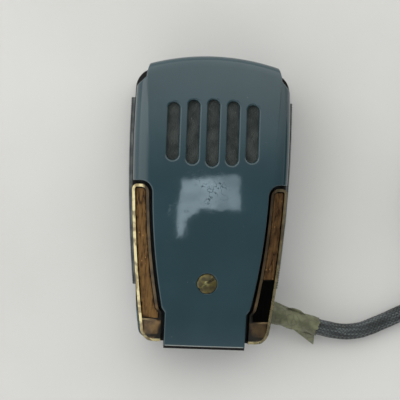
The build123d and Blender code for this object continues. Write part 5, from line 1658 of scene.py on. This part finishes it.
# Finishes of the solids that stay, by the record's slot
finishes = {
    "baffle_plastic": patchyMaterial(
        "baffleMoulding", (0.012, 0.012, 0.013), (0.022, 0.022, 0.022), roughness=(0.45, 0.6)
    ),
    "steel": patchyMaterial("platedSteel", (0.40, 0.40, 0.38), (0.60, 0.59, 0.56), 260.0, (0.25, 0.42), 1.0,
                            specks=(0.06, (0.16, 0.09, 0.04))),
    "cap_aluminium": patchyMaterial("spunAluminium", (0.60, 0.60, 0.60), (0.76, 0.76, 0.75), 180.0, (0.30, 0.45), 1.0),
    "gland_rubber": patchyMaterial("glandRubber", (0.010, 0.010, 0.010), (0.024, 0.023, 0.021), 320.0, (0.55, 0.75),
                                   grain=(1500.0, 0.35, 0.00012)),
    "film": patchyMaterial("coneFilm", (0.30, 0.26, 0.17), (0.42, 0.37, 0.25), 220.0, (0.25, 0.4)),
    "contact_bronze": patchyMaterial("contactBronze", (0.50, 0.30, 0.15), (0.68, 0.44, 0.24), 260.0, (0.28, 0.42), 1.0),
    "seal_rubber": patchyMaterial("sealRubber", (0.014, 0.014, 0.014), (0.030, 0.029, 0.027), 320.0, (0.6, 0.8),
                                  grain=(1500.0, 0.35, 0.00012)),
    "grille_fabric": clothMaterial(),
    "lead_plastic": patchyMaterial("leadSleeve", (0.24, 0.030, 0.020), (0.36, 0.055, 0.035), 380.0, (0.4, 0.55)),
    "magnet_iron": patchyMaterial("castMagnet", (0.10, 0.10, 0.10), (0.20, 0.195, 0.19), 420.0, (0.45, 0.65), 0.8,
                                  grain=(1200.0, 0.45, 0.00018)),
    "soft_iron": patchyMaterial("softIron", (0.24, 0.235, 0.23), (0.40, 0.39, 0.375), 300.0, (0.35, 0.5), 0.9,
                                specks=(0.10, (0.20, 0.10, 0.05))),
    "felt": patchyMaterial("greyFelt", (0.14, 0.135, 0.12), (0.25, 0.24, 0.215), 700.0, (0.85, 0.95),
                           grain=(2200.0, 0.8, 0.00030)),
    "laminate": patchyMaterial("paperLaminate", (0.100, 0.045, 0.018), (0.180, 0.085, 0.036), 240.0, (0.4, 0.55)),
    "tinned": patchyMaterial("tinnedBrass", (0.46, 0.46, 0.45), (0.64, 0.63, 0.61), 340.0, (0.3, 0.45), 1.0),
    "winding_tape": patchyMaterial("windingTape", (0.42, 0.31, 0.11), (0.58, 0.45, 0.19), 260.0, (0.35, 0.5)),
    "copper_wire": patchyMaterial("enamelledWire", (0.34, 0.11, 0.045), (0.52, 0.20, 0.09), 600.0, (0.25, 0.4), 0.9),
}
hidden = {node for piece in scene.objects for node in piece.get("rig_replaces", [])}
for nodeName, nodeObject in frame["nodes"].items():
    if nodeName in hidden:
        continue
    for materialSlot in nodeObject.material_slots:
        finish = finishes.get(materialSlot.material.name.split(".")[0])
        if finish is None:
            print("no finish for", nodeName, materialSlot.material.name)
        else:
            materialSlot.material = finish
print("inner finishes set")
